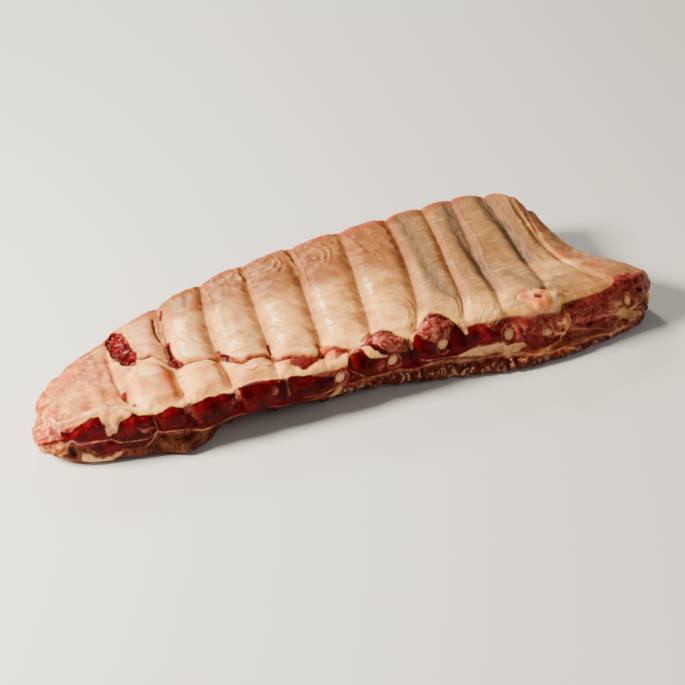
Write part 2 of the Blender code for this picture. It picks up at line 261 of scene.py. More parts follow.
def section(place):
    """One closed loop round the slab: up the near cut, across the top, down the far cut, back below."""
    width = width_at(place)
    small = min(1.0, width / NARROW)
    rim, _, _, _, far, thick = curve(HEIGHTS, place)
    across, height = top_rows(place)
    swell = SCALLOP * band(place) / CREASE_DEPTH * small
    lift = TAIL_LIFT * float(1 - ease(place / TAIL_LIFT_END))
    low = far - thick
    top = np.column_stack([across, height])
    top[-len(SCALLOP_ROWS):, 0] += swell * np.array(SCALLOP_ROWS)
    far_cut = [
        (width + follow * swell + out * small, far - down * thick) for down, follow, out in FAR_CUT
    ]
    toe = float(curve(TOE, place)[0])
    below = lift + (low - lift) * ease((across / width - FLAT_SHARE) / (1 - FLAT_SHARE))
    drawn = (toe - FOOT_INSET) * small * np.clip(1 - across / (FOOT_SHARE * width), 0, 1)
    under = np.column_stack([across - drawn, below])[::-1]
    out, z = near_face(place)
    near_cut = np.column_stack([-out * small, z + lift * (1 - z / rim)])
    return np.vstack([near_cut, top, far_cut, under])


# The fine skin. It has a row of points at the same share of each of the four faces all along.
NEAR_ROWS, TOP_ROWS, FAR_ROWS, UNDER_ROWS = 42, 96, 10, 16
ROWS = NEAR_ROWS + TOP_ROWS + FAR_ROWS + UNDER_ROWS
SECTIONS_PER_RIB = (50, 38, 42, 40, 42, 44, 42, 44, 42, 42, 54, 46)
CREASE_CROWDING = 0.45
FINE = 8


def smooth_loop(loop):
    """A closed loop with more points on a smooth curve through it."""
    count = len(loop)
    t = np.arange(count * FINE) / FINE
    i = np.floor(t).astype(int)
    f = (t - i)[:, None]
    before, here, after, beyond = (loop[(i + k) % count] for k in (-1, 0, 1, 2))
    leaving = (after - before) / 2
    arriving = (beyond - here) / 2
    return (here * (1 + 2 * f) * (1 - f) ** 2 + leaving * f * (1 - f) ** 2
            + after * f * f * (3 - 2 * f) - arriving * f * f * (1 - f))


def fine_section(place):
    """The loop's points, their distances round it from the near rim, and that of the far edge."""
    loop = smooth_loop(section(place))
    near, top, far = len(PLAIN_CUT), len(RIM_TO_CREST) + len(CREST_TO_FAR), len(FAR_CUT)
    steps = np.linalg.norm(np.diff(np.vstack([loop, loop[:1]]), axis=0), axis=1)
    reach = np.concatenate([[0], np.cumsum(steps)])
    corners = [0, int((near - 0.5) * FINE), (near + top - 1) * FINE + FINE // 2,
               (near + top + far) * FINE - FINE // 2, len(loop)]
    marks = reach[corners]
    wanted = []
    for k, rows in enumerate((NEAR_ROWS, TOP_ROWS, FAR_ROWS, UNDER_ROWS)):
        wanted.append(np.linspace(marks[k], marks[k + 1], rows, endpoint=False))
    wanted = np.concatenate(wanted)
    closed = np.vstack([loop, loop[:1]])
    across = np.interp(wanted, reach, closed[:, 0])
    height = np.interp(wanted, reach, closed[:, 1])
    return np.column_stack([across, height]), wanted - marks[1], marks[2] - marks[1]


def rib_places():
    """Rib coordinates of the sections, closer together beside the creases."""
    places = []
    for rib, count in enumerate(SECTIONS_PER_RIB):
        q = np.arange(count) / count
        places.append(rib + q - CREASE_CROWDING * np.sin(2 * math.pi * q) / (2 * math.pi))
    places.append([RIB_COUNT])
    return np.concatenate(places)


places = rib_places()

# P is the skin's points, S how far round it they are from the near rim, TOP_END where its far edge is,
# U their rib coordinate and ACROSS their distance from the near rim in plan.
loops, rounds, edges, rings = [], [], [], []
for place in places:
    loop, distances, far_edge = fine_section(float(place))
    loops.append(loop)
    rounds.append(distances)
    edges.append(far_edge)
    rings.append(np.column_stack([in_plan(float(place), loop[:, 0]), loop[:, 1]]))
P = np.array(rings)
S = np.array(rounds)
TOP_END = np.array(edges)[:, None]
U = np.repeat(places[:, None], ROWS, axis=1)
ACROSS = np.array(loops)[:, :, 0]
LATTICE_SIZE = 48
LATTICE = rng.random((LATTICE_SIZE, LATTICE_SIZE, LATTICE_SIZE)) * 2 - 1


def grain(points, size):
    """Smooth random values from -1 to 1, with lumps of this size."""
    scaled = points / np.array(size)
    cell = np.floor(scaled).astype(int)
    f = scaled - cell
    f = f * f * (3 - 2 * f)
    total = 0.0
    for corner in np.ndindex(2, 2, 2):
        weight = 1.0
        for axis in range(3):
            weight = weight * (f[..., axis] if corner[axis] else 1 - f[..., axis])
        index = np.mod(cell + np.array(corner), LATTICE_SIZE)
        total = total + weight * LATTICE[index[..., 0], index[..., 1], index[..., 2]]
    return total


def wandering(broad, small):
    """Random moves in mm along the skin, that make drawn lines and edges wander as they do in flesh."""
    moves = []
    for shift in (0, 61, 127):
        wave = broad * grain(P + shift, 9) + small * grain(P + shift + 23, 4)
        moves.append(wave + 0.5 * small * grain(P + shift + 71, 1.9))
    upward = ease(S / 4 + 0.5)
    return np.stack([moves[0], moves[1] * upward, moves[2] * (1 - upward)], axis=-1)


# Places on the skin as a flat sheet, for patterns that follow it: mm along and mm round.
PITCH = 31.0
SHEET = np.stack([U * PITCH, S, np.zeros_like(S)], axis=-1)
PHASE = np.mod(U, 1.0)

# The muscle between two ribs has fibres that run aslant from one rib to the next.
FIBRE_TURN = math.radians(-50)
SLANT = np.stack([
    SHEET[..., 0] * math.cos(FIBRE_TURN) + SHEET[..., 1] * math.sin(FIBRE_TURN),
    SHEET[..., 1] * math.cos(FIBRE_TURN) - SHEET[..., 0] * math.sin(FIBRE_TURN),
    SHEET[..., 2],
], axis=-1)


def ridges(points, size):
    """Sharp random ridges, from -1 to 1."""
    return 1 - 2 * np.minimum(1, 1.8 * np.abs(grain(points, size)))


# How far the far edge is, where the skin is the bone side, and where its bands may rise.
skin_end = TOP_END - S
on_top = ease(S / 3) * ease(skin_end / 6 + 1)
inward = ease(ACROSS / 12) * ease(skin_end / 6 + 1)
in_bands = on_top * ease((U - 1.6) / 0.3) * ease((10.4 - U) / 0.3)

# Bands over the ribs, as on the solid, then the raw hollow and the mound over a cartilage.
tail_fade = ease((U - 0.35) / 0.5)
end_fade = ease((RIB_COUNT - U) / 0.3)
softer = 1 - 0.35 * ease((U - 7.2) / 0.8)
creases = np.abs(np.mod(U + 0.5, 1.0) - 0.5) * PITCH
bulge = CREASE_DEPTH * (0.85 * (1 - hill(creases, 4.5)) + 0.3 * np.sin(math.pi * PHASE) - 0.65)
near_far_edge = ease((40 - skin_end) / 40)
raised = bulge + (0.8 - bulge) * 0.5 * near_far_edge
P[..., 2] += raised * inward * tail_fade * end_fade * softer
for x, y, spread, height in ((-152, -4, 13, -2.2), (112, -52, 16, 3.0)):
    P[..., 2] += height * hill(np.hypot(P[..., 0] - x, P[..., 1] - y), spread) * on_top

# Marks on the skin are given on the form before the relief is raised on it.
PLAIN = P.copy()


def at(rib_place, distance):
    """The point of the skin at this rib coordinate and this far round from the near rim."""
    i = float(np.interp(rib_place, places, np.arange(len(places))))
    low = min(int(i), len(places) - 2)
    share = i - low
    ends = []
    for k in (low, low + 1):
        ends.append([np.interp(distance, S[k], PLAIN[k, :, axis]) for axis in range(3)])
    return np.array(ends[0]) * (1 - share) + np.array(ends[1]) * share


def line(*marks):
    """A smooth line on the skin through marks, each a rib coordinate and a distance round."""
    table = [(i, *mark) for i, mark in enumerate(marks)]
    fine = np.linspace(0, len(marks) - 1, 6 * (len(marks) - 1) + 1)
    ribs, distances = curve(table, fine)
    return np.array([at(rib, distance) for rib, distance in zip(ribs, distances)])


REACH = 16.0      # a line or patch works on the skin this far around it, in mm
FAR_OFF = 99.0    # the distance given to all skin beyond that
TINY = 1e-9
ROUGH_MOVES = wandering(1.0, 0.9)
STEADY = PLAIN + wandering(0.5, 0.2)
ROUGH = PLAIN + ROUGH_MOVES
ROUGH_ROUND = S + ROUGH_MOVES[..., 1]
HALF_ROUGH = (ROUGH + STEADY) / 2


def off_lines(points, starts, ends):
    """Distance of each point from the nearest of some straight lines, in plan or in space."""
    best = np.full(len(points), FAR_OFF)
    for start, end in zip(starts, ends):
        run = end - start
        share = np.clip((points - start) @ run / (run @ run + TINY), 0, 1)
        best = np.minimum(best, np.linalg.norm(points - start - share[:, None] * run, axis=1))
    return best


def off(*marks):
    """Distance of each point of the skin from the line through these marks."""
    path = line(*marks)
    near = np.all((PLAIN >= path.min(axis=0) - REACH) & (PLAIN <= path.max(axis=0) + REACH), axis=2)
    found = np.full(U.shape, FAR_OFF)
    found[near] = off_lines(STEADY[near], path, path[1:])
    return found


def inside(*marks):
    """Distance of each point inside the edge of a patch with these corners, negative outside."""
    corners = np.array([[at(*mark)[0], mark[1]] for mark in marks])
    flat = np.stack([ROUGH[..., 0], ROUGH_ROUND], axis=-1)
    near = np.all((flat >= corners.min(axis=0) - REACH) & (flat <= corners.max(axis=0) + REACH), axis=2)
    points = flat[near]
    after = np.roll(corners, -1, axis=0)
    best = off_lines(points, corners, after)
    odd = np.zeros(len(points), dtype=bool)
    for start, end in zip(corners, after):
        run = end - start
        crosses = (start[1] > points[:, 1]) != (end[1] > points[:, 1])
        crossed = start[0] + (points[:, 1] - start[1]) * run[0] / (run[1] if run[1] else TINY)
        odd ^= crosses & (points[:, 0] < crossed)
    found = np.full(U.shape, -FAR_OFF)
    found[near] = np.where(odd, best, -best)
    return found

def away(rib_place, distance):
    """Distance of each point of the skin, as it stands now, from one mark."""
    return np.linalg.norm(P - at(rib_place, distance), axis=-1)


def profile(*marks):
    """How far round a line through these marks lies, at each point's rib coordinate."""
    return np.interp(U, *np.array(marks).T)


def between(first, fade_in, last, fade_out):
    """A share that is 1 between two rib coordinates, and fades at both."""
    return ease((U - first) / fade_in) * ease((last - U) / fade_out)


push = np.zeros_like(S)      # mm out of the skin

# The membrane's near edge: a lip, with fat pads below it that swell up to the rim.
membrane_edge = (
    (1.08, 52), (1.6, 50.3), (1.74, 51.6), (1.9, 46), (2.04, 38), (2.12, 34.5), (2.26, 34.8), (2.48, 35.2),
    (2.74, 34.3), (2.92, 32.6), (3.04, 32), (3.14, 28), (3.36, 23), (3.6, 24.5), (3.94, 23.3), (4.16, 18.5),
    (4.38, 17.1), (4.62, 14.7), (4.86, 12.5), (5.1, 14.5), (5.3, 12),
)
edge = off(*membrane_edge)
beyond = S - profile(*membrane_edge)
has_edge = between(1.0, 0.15, 5.45, 0.2)
push -= 0.35 * hill(creases, 1.5) * in_bands
push += has_edge * (-1.5 * hill(edge, 1.1) + 0.7 * hill(beyond - 2.6, 1.8) * (beyond > 0))
rippled = between(1.9, 0.2, 5.4, 0.3) * hill(beyond - 9, 7.0) * (beyond > 0)
push += 0.28 * rippled * grain(SHEET + 13, (9.0, 2.6, 1.0))

pads = (
    inside((1.1, 36), (1.45, 46), (1.8, 42), (2.0, 33), (1.97, 8), (1.8, 3), (1.5, 4), (1.1, 3), (1.04, 14)),
    inside((2.1, 31), (2.4, 33.5), (2.96, 31), (3.0, 20), (2.96, 4), (2.6, 2.5), (2.3, 2.5), (2.08, 0)),
    inside((3.1, 22), (3.4, 21), (3.92, 21), (4.3, 15), (4.36, 6), (4.0, 3), (3.5, 6), (3.14, 5), (3.06, 14)),
    inside((4.28, 12.8), (4.4, 6), (4.52, 3.8), (4.7, 7), (4.9, 10.9), (5.2, 4.7), (5.4, 1.5), (5.38, -1.6),
           (5.12, -0.5), (4.94, 0), (4.76, 0.5), (4.4, 1.6)),
)
pad_lumps = grain(P + 5, 5)
for pad, rise in zip(pads, (1.5, 1.7, 1.5, 0.8)):
    push += rise * ease(pad / 7) - 0.5 * hill(pad, 1.2) + 0.25 * ease(pad / 3) * pad_lumps
salmon = inside((4.9, 23.5), (5.1, 18.8), (5.32, 12.9), (5.52, 7.1), (5.34, 6), (5.2, 5), (5.02, 9), (4.9, 15))

# Thin cords and folds near the far cut.
cords = [off(*marks) for marks in (
    ((3.98, 131), (4.0, 127), (4.06, 109), (4.1, 90)),
    ((3.9, 134), (3.86, 124), (3.88, 114)),
    ((5.0, 137), (5.05, 128), (5.1, 111), (5.1, 90)),
    ((4.8, 137), (4.9, 129), (4.98, 118), (5.0, 108)),
    ((6.0, 140), (6.08, 134), (6.2, 120), (6.3, 111)),
    ((3.02, 118), (3.1, 108), (3.16, 96)),
)]
for fold in (
    off((4.45, 138), (4.56, 132), (4.62, 126), (4.55, 120), (4.4, 117)),
    off((4.5, 134), (4.66, 130), (4.72, 123), (4.6, 114)),
    off((5.3, 134), (5.45, 128), (5.55, 121), (5.5, 114)),
    off((5.4, 137), (5.6, 131), (5.68, 122), (5.62, 113)),
    off((5.2, 126), (5.35, 121), (5.42, 115)),
    off((6.1, 124), (6.3, 118), (6.5, 108), (6.6, 96)),
    off((6.05, 104), (6.25, 98), (6.45, 88)),
):
    push += 0.4 * hill(fold, 1.0) - 0.3 * hill(fold - 2.0, 1.1)

# Taut wrinkles, aslant over the muscle between ribs, and folds that run down to the near rim.
muscle = ease((PHASE - 0.3) / 0.4) * ease((1.0 - PHASE) / 0.04) * in_bands * ease((7.3 - U) / 0.5)
wrinkles = 0.14 * ridges(SLANT, (19.0, 3.6, 1.0)) + 0.06 * ridges(SLANT + 31, (9.0, 2.2, 1.0))
membrane_end = ease((7.6 - U) / 0.8)
push += in_bands * membrane_end * ease((S - 30) / 15) * wrinkles * (0.6 + 0.3 * muscle)
push += on_top * membrane_end * 0.3 * ease((S - 96) / 20) * ridges(SLANT + 57, (7.0, 4.0, 1.0))
taut = [off(*marks) for marks in (
    ((6.7, 46), (6.86, 38), (6.92, 25), (6.82, 12)),
    ((6.56, 40), (6.74, 33), (6.8, 22), (6.74, 13)),
    ((6.86, 50), (6.97, 38), (6.98, 26), (6.92, 15)),
    ((7.02, 24), (7.16, 21), (7.34, 22)),
    ((7.0, 19), (7.1, 17.5), (7.24, 18)),
    ((5.56, 14), (5.8, 15), (5.94, 20), (6.1, 21)),
    ((7.86, 34), (7.94, 24), (7.92, 12)),
    ((7.74, 30), (7.84, 20), (7.86, 8)),
    ((6.22, 22), (6.5, 18), (6.72, 12)),
)]

# Sunken strips of muscle between the ribs, towards the shoulder.
strips = (
    (off((7.3, 140), (7.36, 111), (7.4, 81), (7.58, 51), (7.8, 34)), 0.85),
    (off((8.84, 142), (8.78, 112), (8.86, 90), (9.0, 73), (9.04, 46), (9.12, 28)), 1.0),
    (off((9.88, 141), (9.86, 126), (9.9, 111), (10.0, 96), (10.08, 80), (10.08, 62)), 1.2),
    (off((9.54, 46), (9.66, 31), (9.74, 20)), 0.7),
)
strip_ridges = ridges(SLANT + 19, (9.0, 2.4, 1.0))
for strip, strength in strips:
    push += 0.1 * hill(strip, 4.5) * strip_ridges - 1.1 * strength * hill(strip, 4.2)
last_strip = off(
    (11.36, 104), (11.32, 97), (11.18, 82), (11.1, 73), (11.04, 53), (11.04, 39), (10.9, 24), (11.1, 13),
)
pink_cords = (
    off((9.1, 130), (9.16, 110), (9.22, 98), (9.18, 79), (9.16, 60), (9.26, 24)),
    off((10.18, 120), (10.2, 110), (10.22, 86), (10.3, 67), (10.36, 50)),
)

# Muscle ends on the near cut, as limits round the skin, then as patches of their own.
lean_top = profile(
    (0.0, -3), (0.08, -2.6), (0.3, -4.7), (0.42, -1.6), (0.5, 1.2), (0.64, 3.8), (0.71, 3.7), (0.74, 0.5),
    (0.86, -0.8), (0.9, 0.5), (0.95, 2.7), (1.0, 0.8), (1.2, -1), (1.42, 0), (1.64, 2.6), (1.82, 0.8),
    (1.98, -3), (2.08, -0.5), (2.3, 2.2), (2.56, 2.3), (3.0, 0.5), (3.18, 3.8), (3.42, 5.1), (3.82, 5.0),
    (4.08, 2.1), (4.5, 1.6), (4.84, -1), (5.18, -2.6), (5.36, -2), (5.44, 3), (5.56, 6), (5.8, 9), (5.9, 15),
    (6.02, 17), (6.24, 14), (6.5, 8), (6.78, 3), (6.9, 0.5), (6.96, 4), (7.06, 10), (7.2, 15), (7.4, 13.5),
    (7.6, 8.5), (7.8, 1.5), (8.02, -3.2), (8.12, -1.0), (8.34, -1.6), (8.62, -5.5), (8.86, -9), (8.92, -60),
    (12.0, -60),
)
lean_low = profile(
    (0.0, -5), (0.08, -5.4), (0.26, -7), (0.36, -6.6), (0.44, -10), (0.54, -13), (0.62, -18), (0.68, -23),
    (0.76, -21), (1.02, -20), (1.12, -18.5), (1.28, -13), (1.58, -14), (2.2, -18), (2.96, -19), (3.4, -17),
    (3.86, -19), (4.42, -22), (4.84, -20), (5.28, -16), (5.7, -15.5), (6.0, -16.5), (6.6, -18), (7.0, -21),
    (7.3, -20), (7.9, -18.5), (8.2, -15), (8.6, -16), (8.86, -15), (12.0, -15),
)
stray = grain(P + 83, 6) + 0.6 * grain(P + 89, 2.6)
blocks = np.minimum(lean_top - S, S - lean_low) + 0.7 * stray
partings = np.minimum.reduce([off(*marks) for marks in (
    ((0.78, 5), (0.78, -12)),
    ((1.2, -1), (1.24, -7), (1.3, -13)),
    ((1.98, 1), (2.02, -6), (2.1, -14)),
    ((2.98, 6), (3.0, -4), (3.1, -16)),
    ((4.12, 3), (4.2, -6), (4.3, -14)),
    ((5.46, 4), (5.5, -3), (5.44, -8)),
    ((6.78, 6), (6.88, 0), (6.92, -8), (7.0, -20)),
    ((7.9, 0), (7.96, -8), (8.1, -18)),
)])
push += 1.7 * ease(np.minimum(blocks, partings) / 5) - 0.8 * hill(partings, 1.4) * (blocks > -2)

red_cap = inside(
    (11.28, 8.8), (11.62, 9.6), (11.9, 3), (12.0, -2), (12.0, -10), (11.86, -13.2), (11.74, -5), (11.64, -3.8),
    (11.48, -4.5), (11.28, -2.3), (11.16, -6.3), (10.84, -10.7), (10.62, -9.1), (10.48, -8.3), (10.32, -9.5),
    (10.24, -6.7), (10.26, -3.1), (10.46, -2.9), (10.58, -1.3), (10.8, -1.3), (11.06, 1.1),
)
end_strand = off((11.22, -1.1), (10.98, -5.1), (10.82, -10.7), (10.72, -12.7))
under_mound = inside(
    (9.28, -2.1), (9.72, -3.6), (10.1, -5.5), (10.16, -10.4), (9.94, -10.1), (9.72, -8.4), (9.58, -11.6),
    (9.36, -10.3), (9.28, -6.3),
)
vein = off(
    (10.22, -3.2), (10.24, -9.5), (10.26, -15.3), (10.22, -20.6), (10.14, -25.5), (9.96, -27.6), (9.68, -29.2),
)
deep_patch = inside(
    (9.42, -14.8), (9.58, -15.2), (9.84, -18.6), (9.98, -21.4), (10.2, -21.6), (10.16, -25.5), (10.04, -27.6),
    (9.84, -27.8), (9.66, -26.9), (9.5, -22.6),
)
mixed_patch = inside(
    (10.32, -9.5), (10.42, -8.4), (10.58, -9.1), (10.74, -13.6), (10.74, -20.7), (10.68, -24), (10.58, -24.2),
    (10.38, -18.6), (10.32, -14.2),
)
brown_band = inside((10.74, -18.1), (11.12, -20.5), (11.08, -26.4), (10.82, -27.5), (10.68, -24.8))
end_fat = inside(
    (11.16, -18.4), (11.52, -20.8), (11.62, -23), (11.3, -29.5), (11.05, -33.5), (10.9, -36.5), (10.86, -31.9),
    (11.04, -29.2), (11.12, -23.4),
)
mound = inside(
    (9.34, 10.4), (9.48, 12.7), (9.7, 13.4), (9.92, 11.8), (10.16, 8.7), (10.32, 3.2), (10.34, 0.7),
    (10.22, -0.8), (10.1, -4.8), (9.96, -4.4), (9.74, -2.5), (9.64, 2.7), (9.56, 5.3), (9.42, 8.2),
)
eighth_block = inside(
    (8.0, -4.2), (8.1, -1.2), (8.34, -1.8), (8.54, -4.2), (8.66, -6.2), (8.84, -9), (8.84, -14.7), (8.6, -15.5),
    (8.4, -12.9), (8.2, -9.1), (8.04, -6.8),
)
seventh_dark = inside(
    (7.64, 1), (7.84, -1.2), (8.02, -5.9), (8.2, -10.9), (8.24, -15.6), (7.98, -17.7), (7.8, -15.5), (7.62, -12),
    (7.66, -5.4),
)
seventh_film = inside(
    (7.02, 8.9), (7.26, 9.9), (7.6, 5.9), (7.76, 1.5), (7.64, -3.1), (7.42, -1), (7.38, -6), (7.24, -2.5),
    (7.0, 3.4),
)
seventh_cap = inside(
    (6.98, 9), (7.06, 11), (7.12, 14), (7.26, 16.5), (7.42, 14.5), (7.62, 9), (7.76, 4), (7.6, 7.2), (7.42, 10),
    (7.24, 11.2), (7.08, 9.4),
)
seventh_slit = off((7.16, 10.4), (7.24, 11), (7.42, 9.8), (7.6, 7.2))
sixth_film = inside(
    (5.88, 11), (6.2, 11), (6.48, 7.5), (6.76, 2.8), (6.84, -1.8), (6.78, -5), (6.5, -3), (6.32, -1.7),
    (5.98, 5.2),
)
sixth_cap = inside(
    (5.76, 10.8), (5.84, 15), (5.98, 18), (6.24, 15.5), (6.46, 9.8), (6.28, 10.4), (6.0, 12.4), (5.86, 10.4),
)
sixth_slit = off((6.2, 10.2), (6.32, 8.4), (6.58, 6.2), (6.74, 3))
sixth_wedge = inside(
    (5.56, 7.9), (5.88, 5.2), (6.1, 0), (6.34, -2.6), (6.3, -4.6), (6.0, -3.6), (5.86, -2.0), (5.72, 4.0),
)
fifth_mix = inside(
    (4.66, 0.5), (4.94, -0.5), (5.16, -1.5), (5.38, -2.6), (5.42, -8.6), (5.12, -5.4), (4.84, -2.7),
)
grey_spot = inside((7.0, -7.5), (7.16, -6.8), (7.32, -9.5), (7.32, -13.8), (7.1, -13.4))
tongue = inside((0.72, 4), (0.745, -2.5), (0.74, -7.4), (0.76, -11), (0.81, -7.5), (0.85, -2.6), (0.9, 2.5))
third_film = inside((0.94, -4.9), (1.02, -7), (1.16, -8.1), (1.24, -10.4), (1.04, -11.1), (0.98, -7.7))
tail_hole = inside((0.34, -10.8), (0.42, -8.7), (0.48, -13), (0.47, -22.4), (0.36, -21), (0.28, -17.1))
tail_fat = inside(
    (0.48, -15), (0.6, -21.2), (0.72, -24.6), (0.82, -20.3), (0.86, -21.7), (0.78, -29), (0.6, -29),
    (0.5, -26.3),
)
tail_brown = inside((0.04, 7.1), (0.26, 4.2), (0.38, 1.6), (0.5, 2.2), (0.38, -2.4), (0.24, -3.1), (0.0, 0.2))
tip = inside((-0.2, -6.5), (0.06, -9), (0.26, -7.5), (0.34, -9.4), (0.28, -15.4), (0.1, -18), (-0.2, -18))
push += 0.5 * ease(mixed_patch / 2) * ridges(P + 3, (3.0, 3.0, 6.0))
push += 0.3 * ease(sixth_film / 2) * grain(P + 44, 2.4)
push += 0.3 * ease(seventh_film / 2) * grain(P + 49, 2.8)

# The lower muscle layer is ragged, and a fat seam lies above it.
seam = profile(
    (4.6, -22), (5.0, -17.5), (5.4, -16.6), (5.9, -17.6), (6.3, -19), (6.6, -19.6), (7.0, -22.5), (7.5, -21.5),
    (7.9, -25.0), (8.4, -25), (9.0, -26), (9.4, -28), (9.7, -30.6), (10.2, -31), (10.6, -31.2), (10.9, -33),
    (11.2, -30), (11.6, -27), (12.0, -24),
) + 0.8 * grain(P + 97, 7)
layered = ease((U - 4.7) / 0.6)
ragged = ridges(P + 40, (5.0, 5.0, 10.0)) + 0.4 * grain(P + 47, (2.4, 2.4, 4.0))
on_cut = ease((S + 44) / 4) * ease(-S / 2)
push += layered * (ease((seam - S) / 2) * on_cut * 0.8 * ragged - 0.9 * hill(S - seam, 1.3))
push += 0.4 * (grain(P, 7) + 0.5 * grain(P + 31, 3.2)) * ease((2 - S) / 4)
loose_lump = inside(
    (1.3, -14.9), (1.6, -16), (1.92, -19), (2.22, -20.5), (2.04, -25.3), (1.82, -28.3), (1.56, -27), (1.24, -23),
)

# The mound over a cartilage near the shoulder has a small hole, and fibres run down beside it.
hole = off((9.76, 5.8), (9.83, 5.2))
push += 0.35 * ease(mound / 2) * ridges(P + 71, 4)
mound_edge = off((9.34, 10.4), (9.48, 12.7), (9.76, 13.4), (10.1, 11), (10.36, 6))
fan_patch = inside(
    (8.06, 0), (8.1, 7.5), (8.38, 12.6), (8.6, 12), (8.86, 10), (9.14, 9), (9.04, 1.5), (8.72, -5.3),
    (8.54, -3.4), (8.32, -1.1),
)
fan_fibres = [off(*marks) for marks in (
    ((8.74, -3.5), (8.88, -1), (9.02, 2.5)), ((8.56, -1.9), (8.68, 0.5), (8.82, 4)),
    ((8.4, 0.5), (8.5, 3.5), (8.62, 7)), ((8.24, 2.5), (8.3, 6), (8.42, 10)),
    ((8.64, -2.5), (8.78, 0), (8.92, 4)), ((8.46, -0.5), (8.6, 3), (8.74, 7.5)),
    ((8.32, 1.6), (8.4, 5), (8.54, 10)),
)]

# The raw hollow in the tail, with crumbs of torn lean, and the lumps of the tail.
pit = inside(
    (1.02, 86), (1.22, 86), (1.44, 77), (1.47, 67), (1.5, 57), (1.49, 47), (1.37, 42), (1.14, 49), (1.04, 66),
)
pit_crumbs = inside((1.14, 46), (1.3, 41), (1.48, 44), (1.44, 38), (1.26, 35), (1.14, 39))
push += 0.5 * ease(pit_crumbs / 2) * ridges(P + 21, 2.4)
push += ease(pit / 2) * (-1.3 + 0.9 * ridges(P + 2, 3)) + 0.6 * hill(pit, 1.4)
long_crease = off((1.02, 80), (1.02, 62), (1.0, 43), (0.97, 23), (1.0, 14))
far_fold = off((1.9, 92), (1.9, 85), (1.9, 78), (1.95, 69))
streak = off((0.26, 13.5), (0.3, 6.4), (0.42, 5.8), (0.52, 5.4), (0.6, 6), (0.68, 6))
tail_ridge = off((0.8, 32.8), (0.8, 20.6), (0.78, 13), (0.8, 7.7), (0.86, 5.7), (0.92, 4.2))
tail = ease((1.1 - U) / 0.3)
push += tail * on_top * (0.8 * grain(P, 9) + 0.5 * grain(P + 17, 4) + 0.35 * ridges(P + 15, 5))
push += 0.55 * ease((0.4 - U) / 0.3) * ease((S + 16) / 6) * ridges(P + 25, 3)
push += ease(tip / 2) * (0.4 + 1.0 * ridges(P + 9, 3.2))

# Patches that stand out of the skin or lie sunk in it, with their height in mm and how wide they rise.
for patch, height, rim in (
    (salmon, 1.2, 3), (red_cap, 0.9, 3), (deep_patch, 0.5, 2), (seventh_cap, 0.6, 2), (sixth_cap, 0.5, 2),
    (sixth_wedge, 0.7, 1.5), (grey_spot, 0.6, 1.5), (tongue, 1.0, 2), (tail_hole, -1.6, 3), (tail_fat, 0.7, 2),
    (end_fat, 0.4, 2), (eighth_block, 0.5, 3), (loose_lump, 1.8, 5), (mound, 2.3, 6), (fan_patch, 0.4, 2),
):
    push += height * ease(patch / rim)

# Ridges and grooves along lines and edges, and lumps and dents round marks, with height and spread in mm.
for distance, height, spread in (
    *((cord, 0.85, 1.5) for cord in cords),
    *((wrinkle, 0.35, 1.0) for wrinkle in taut),
    *((cord, 0.4, 0.8) for cord in pink_cords),
    (last_strip, -0.6, 1.4), (last_strip - 2.6, 0.15, 1.4), (salmon, -0.5, 1.0), (deep_patch, -0.5, 0.8),
    (end_strand, 0.5, 1.1), (vein, 0.7, 1.6), (seventh_slit, -1.3, 0.9), (sixth_slit, -0.8, 0.8),
    (hole, -2.4, 1.1), (hole - 2.4, 0.3, 1.2), (mound_edge, -0.8, 0.9), (np.minimum.reduce(fan_fibres), 0.6, 1.0),
    (long_crease, -1.1, 1.3), (far_fold, -0.9, 1.0), (streak, 1.0, 1.2), (tail_ridge, 0.9, 3.0),
    (away(6.04, 7), 2.2, 9.3), (away(7.3, 6), 2.4, 8.06), (away(5.44, 3), 1.2, 5.58), (away(8.35, -8), 1.2, 6.2),
    (away(10.05, 4.0), 1.0, 7.0), (away(9.93, -1.5), 1.2, 5.0), (away(11.62, -9.0), 1.3, 3.6),
    (away(11.56, -3.8), -1.5, 1.2), (away(11.6, -5.4), -1.5, 1.2),
):
    push += height * hill(distance, spread)

# Soft unevenness all over the bone side, stretched along the ribs and across them.
push += on_top * (0.22 * grain(SHEET, (16.0, 7.0, 1.0)) + 0.12 * grain(SHEET + 7, (4.0, 18.0, 1.0)))
push += on_top * 0.1 * grain(SHEET + 3, (5.0, 3.5, 1.0))

# Round a cartilage end that shows, the flesh stands back from its middle and folds over its rim.
SHOWN_ENDS = ((5, 3.6), (6, 3.8), (7, 3.8), (9, 4.2), (10, 4.0), (11, 3.4))


def rib_path(rib, count):
    """The middle line of a rib from the near cut to the far cut, as in the solid."""
    near, far, _, dip = RIBS[rib]
    path = []
    for share in np.linspace(0, 1, count):
        place = near + (far - near) * share
        width = width_at(place)
        small = min(1.0, width / NARROW)
        across = width * share
        level = np.clip(across, EDGE_INSET * small, width - EDGE_INSET * small)
        x, y = in_plan(place, np.array([across]))[0]
        cover = RIB_COVER + dip * (1 - share) ** 2
        path.append((x, y, float(top_height(place, level)) - cover))
    return np.array(path)


def level_direction(vector):
    """The same way in plan, with length 1."""
    flat = np.array([vector[0], vector[1], 0.0])
    return flat / np.linalg.norm(flat)


def near_cut_reach(place, height):
    """How far the near cut stands out of its rim at a height."""
    small = min(1.0, width_at(place) / NARROW)
    out, heights = near_face(place)
    return small * np.interp(height, heights, out)


def far_cut_reach(place, height):
    """How far the far cut stands out of the far edge at a height."""
    small = min(1.0, width_at(place) / NARROW)
    _, _, _, _, far, thick = curve(HEIGHTS, place)
    swell = SCALLOP * band(place) / CREASE_DEPTH * small
    rows = [(far - down * thick, follow * swell + out * small) for down, follow, out in FAR_CUT]
    heights, outs = zip(*rows[::-1])
    return np.interp(height, heights, outs)


